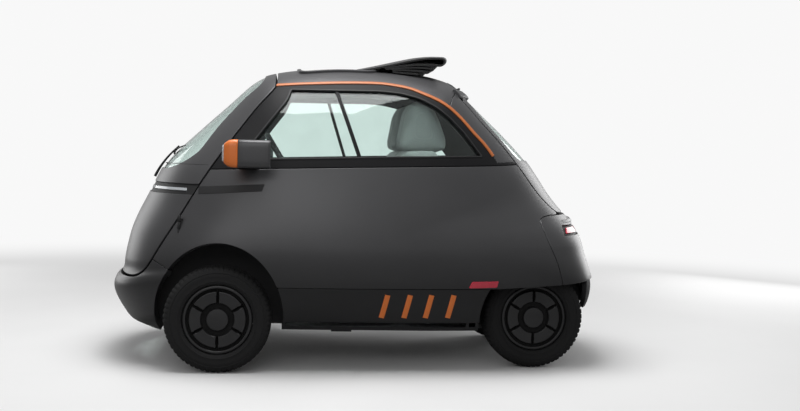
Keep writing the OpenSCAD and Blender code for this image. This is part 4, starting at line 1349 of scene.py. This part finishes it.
# %% Finishes on kept parts
kept_finishes = {
    dark_steel: ["front_axle", "rear_axle", "knuckle_left", "knuckle_right", "steering_column", "drive_motor"],
    black_plastic: ["plate_holder", "pedals", "door_beam"],
    grey_paint: ["hatch_hinge", "hatch_hinge_strap"],
    inner_plastic: ["inner_tub", "battery"],
    bare_alloy: ["tow_socket"]}
for finish, names in kept_finishes.items():
    for name in names:
        node = frame["nodes"][name]
        for s in node.material_slots:
            s.material = finish
        if not node.material_slots:
            node.data.materials.append(finish)
print("kept parts", sum(len(names) for names in kept_finishes.values()))

# %% [markdown]
# ## Floor and light
# The car stands on a plain pale floor under one wide soft lamp, with weaker ones at the
# camera's side, the nose and the tail, and a bright room all round. The room is white where the
# camera or a pane looks at it, and dimmer as a lamp, so that the paint keeps its own level. The
# floor turns into the same white far from the car, and keeps its shadow near it. To every other
# ray the floor is a darker grey: a shaded copy of it, which paints shade into the lower flank.

# %% Floor, lamps and room
LIT, ROOM_WHITE = .34, .94


def seen_directly(tree):
    """1 for rays that come from the camera, straight or through glass, and 0 for the others."""
    ray = add_node(tree, "LightPath").outputs
    return add_node(tree, "Math", {0: ray["Is Camera Ray"], 1: ray["Is Transmission Ray"]},
        operation="MAXIMUM").outputs[0]


floor_mesh = bpy.data.meshes.new("floor")
floor_mesh.from_pydata([(-30, -30, 0), (30, -30, 0), (30, 30, 0), (-30, 30, 0)], [], [(0, 1, 2, 3)])
floor = bpy.data.objects.new("floor", floor_mesh)
bpy.context.scene.collection.objects.link(floor)
pale_floor = new_finish("pale_floor", (.80, .80, .80), .7, bump=0, cloud=.02, drift=.05, patch=1)
floor_mesh.materials.append(pale_floor)
tree = pale_floor.node_tree
spot = add_node(tree, "TexCoord").outputs["Object"]
away = add_node(tree, "VectorMath", {0: spot}, operation="LENGTH").outputs["Value"]
fade = add_node(tree, "MapRange", {"Value": away, "From Min": 2.2, "From Max": 7.5},
    interpolation_type="SMOOTHERSTEP").outputs["Result"]
shown = seen_directly(tree)
white_far = add_node(tree, "Math", {0: fade, 1: shown}, operation="MULTIPLY").outputs[0]
glow = add_node(tree, "Emission", {"Color": (1, 1, 1, 1), "Strength": ROOM_WHITE}).outputs["Emission"]
# Painted shade: to all rays but the camera's and the panes' the floor is a darker grey, a shaded copy that darkens
# what it bounces on to the lower flank.
shaded_floor_copy = add_node(tree, "BsdfDiffuse", {"Color": (.30, .30, .30, 1)}).outputs["BSDF"]
pale = tree.nodes["Principled BSDF"].outputs["BSDF"]
near = add_node(tree, "MixShader", {"Fac": shown, 1: shaded_floor_copy, 2: pale}).outputs["Shader"]
whole = add_node(tree, "MixShader", {"Fac": white_far, 1: near, 2: glow}).outputs["Shader"]
feed(tree, tree.nodes["Material Output"], {"Surface": whole})


def soft_lamp(name, place, aim, size, power):
    lamp = bpy.data.lights.new(name, "AREA")
    lamp.shape, lamp.size, lamp.size_y, lamp.energy = "RECTANGLE", size[0], size[1], power
    o = bpy.data.objects.new(name, lamp)
    o.location = place
    o.rotation_mode = "QUATERNION"
    o.rotation_quaternion = (Vector(aim) - Vector(place)).to_track_quat("-Z", "Y")
    o.visible_camera = False
    bpy.context.scene.collection.objects.link(o)


soft_lamp("top_lamp", (.35, .5, 4.0), (.1, 0, .8), (2.6, 2.6), 150)
soft_lamp("side_lamp", (1.5, 6.5, 3.2), (0, 0, .7), (5, 2.5), 60)
soft_lamp("nose_lamp", (3.7, -3.0, 1.5), (.6, 0, .7), (2.2, 2.6), 26)
soft_lamp("tail_lamp", (-4.0, -3.2, 1.6), (-.6, 0, .8), (2.2, 2.6), 46)
world = bpy.data.worlds.new("room")
bpy.context.scene.world = world
world.use_nodes = True
tree = world.node_tree
strength = add_node(tree, "MapRange", {"Value": seen_directly(tree), "To Min": LIT, "To Max": ROOM_WHITE})
feed(tree, tree.nodes["Background"], {"Color": (1, 1, 1, 1), "Strength": strength.outputs["Result"]})
bpy.context.scene.view_settings.view_transform = "Standard"
print("room lit by", len(bpy.data.lights), "lamps")
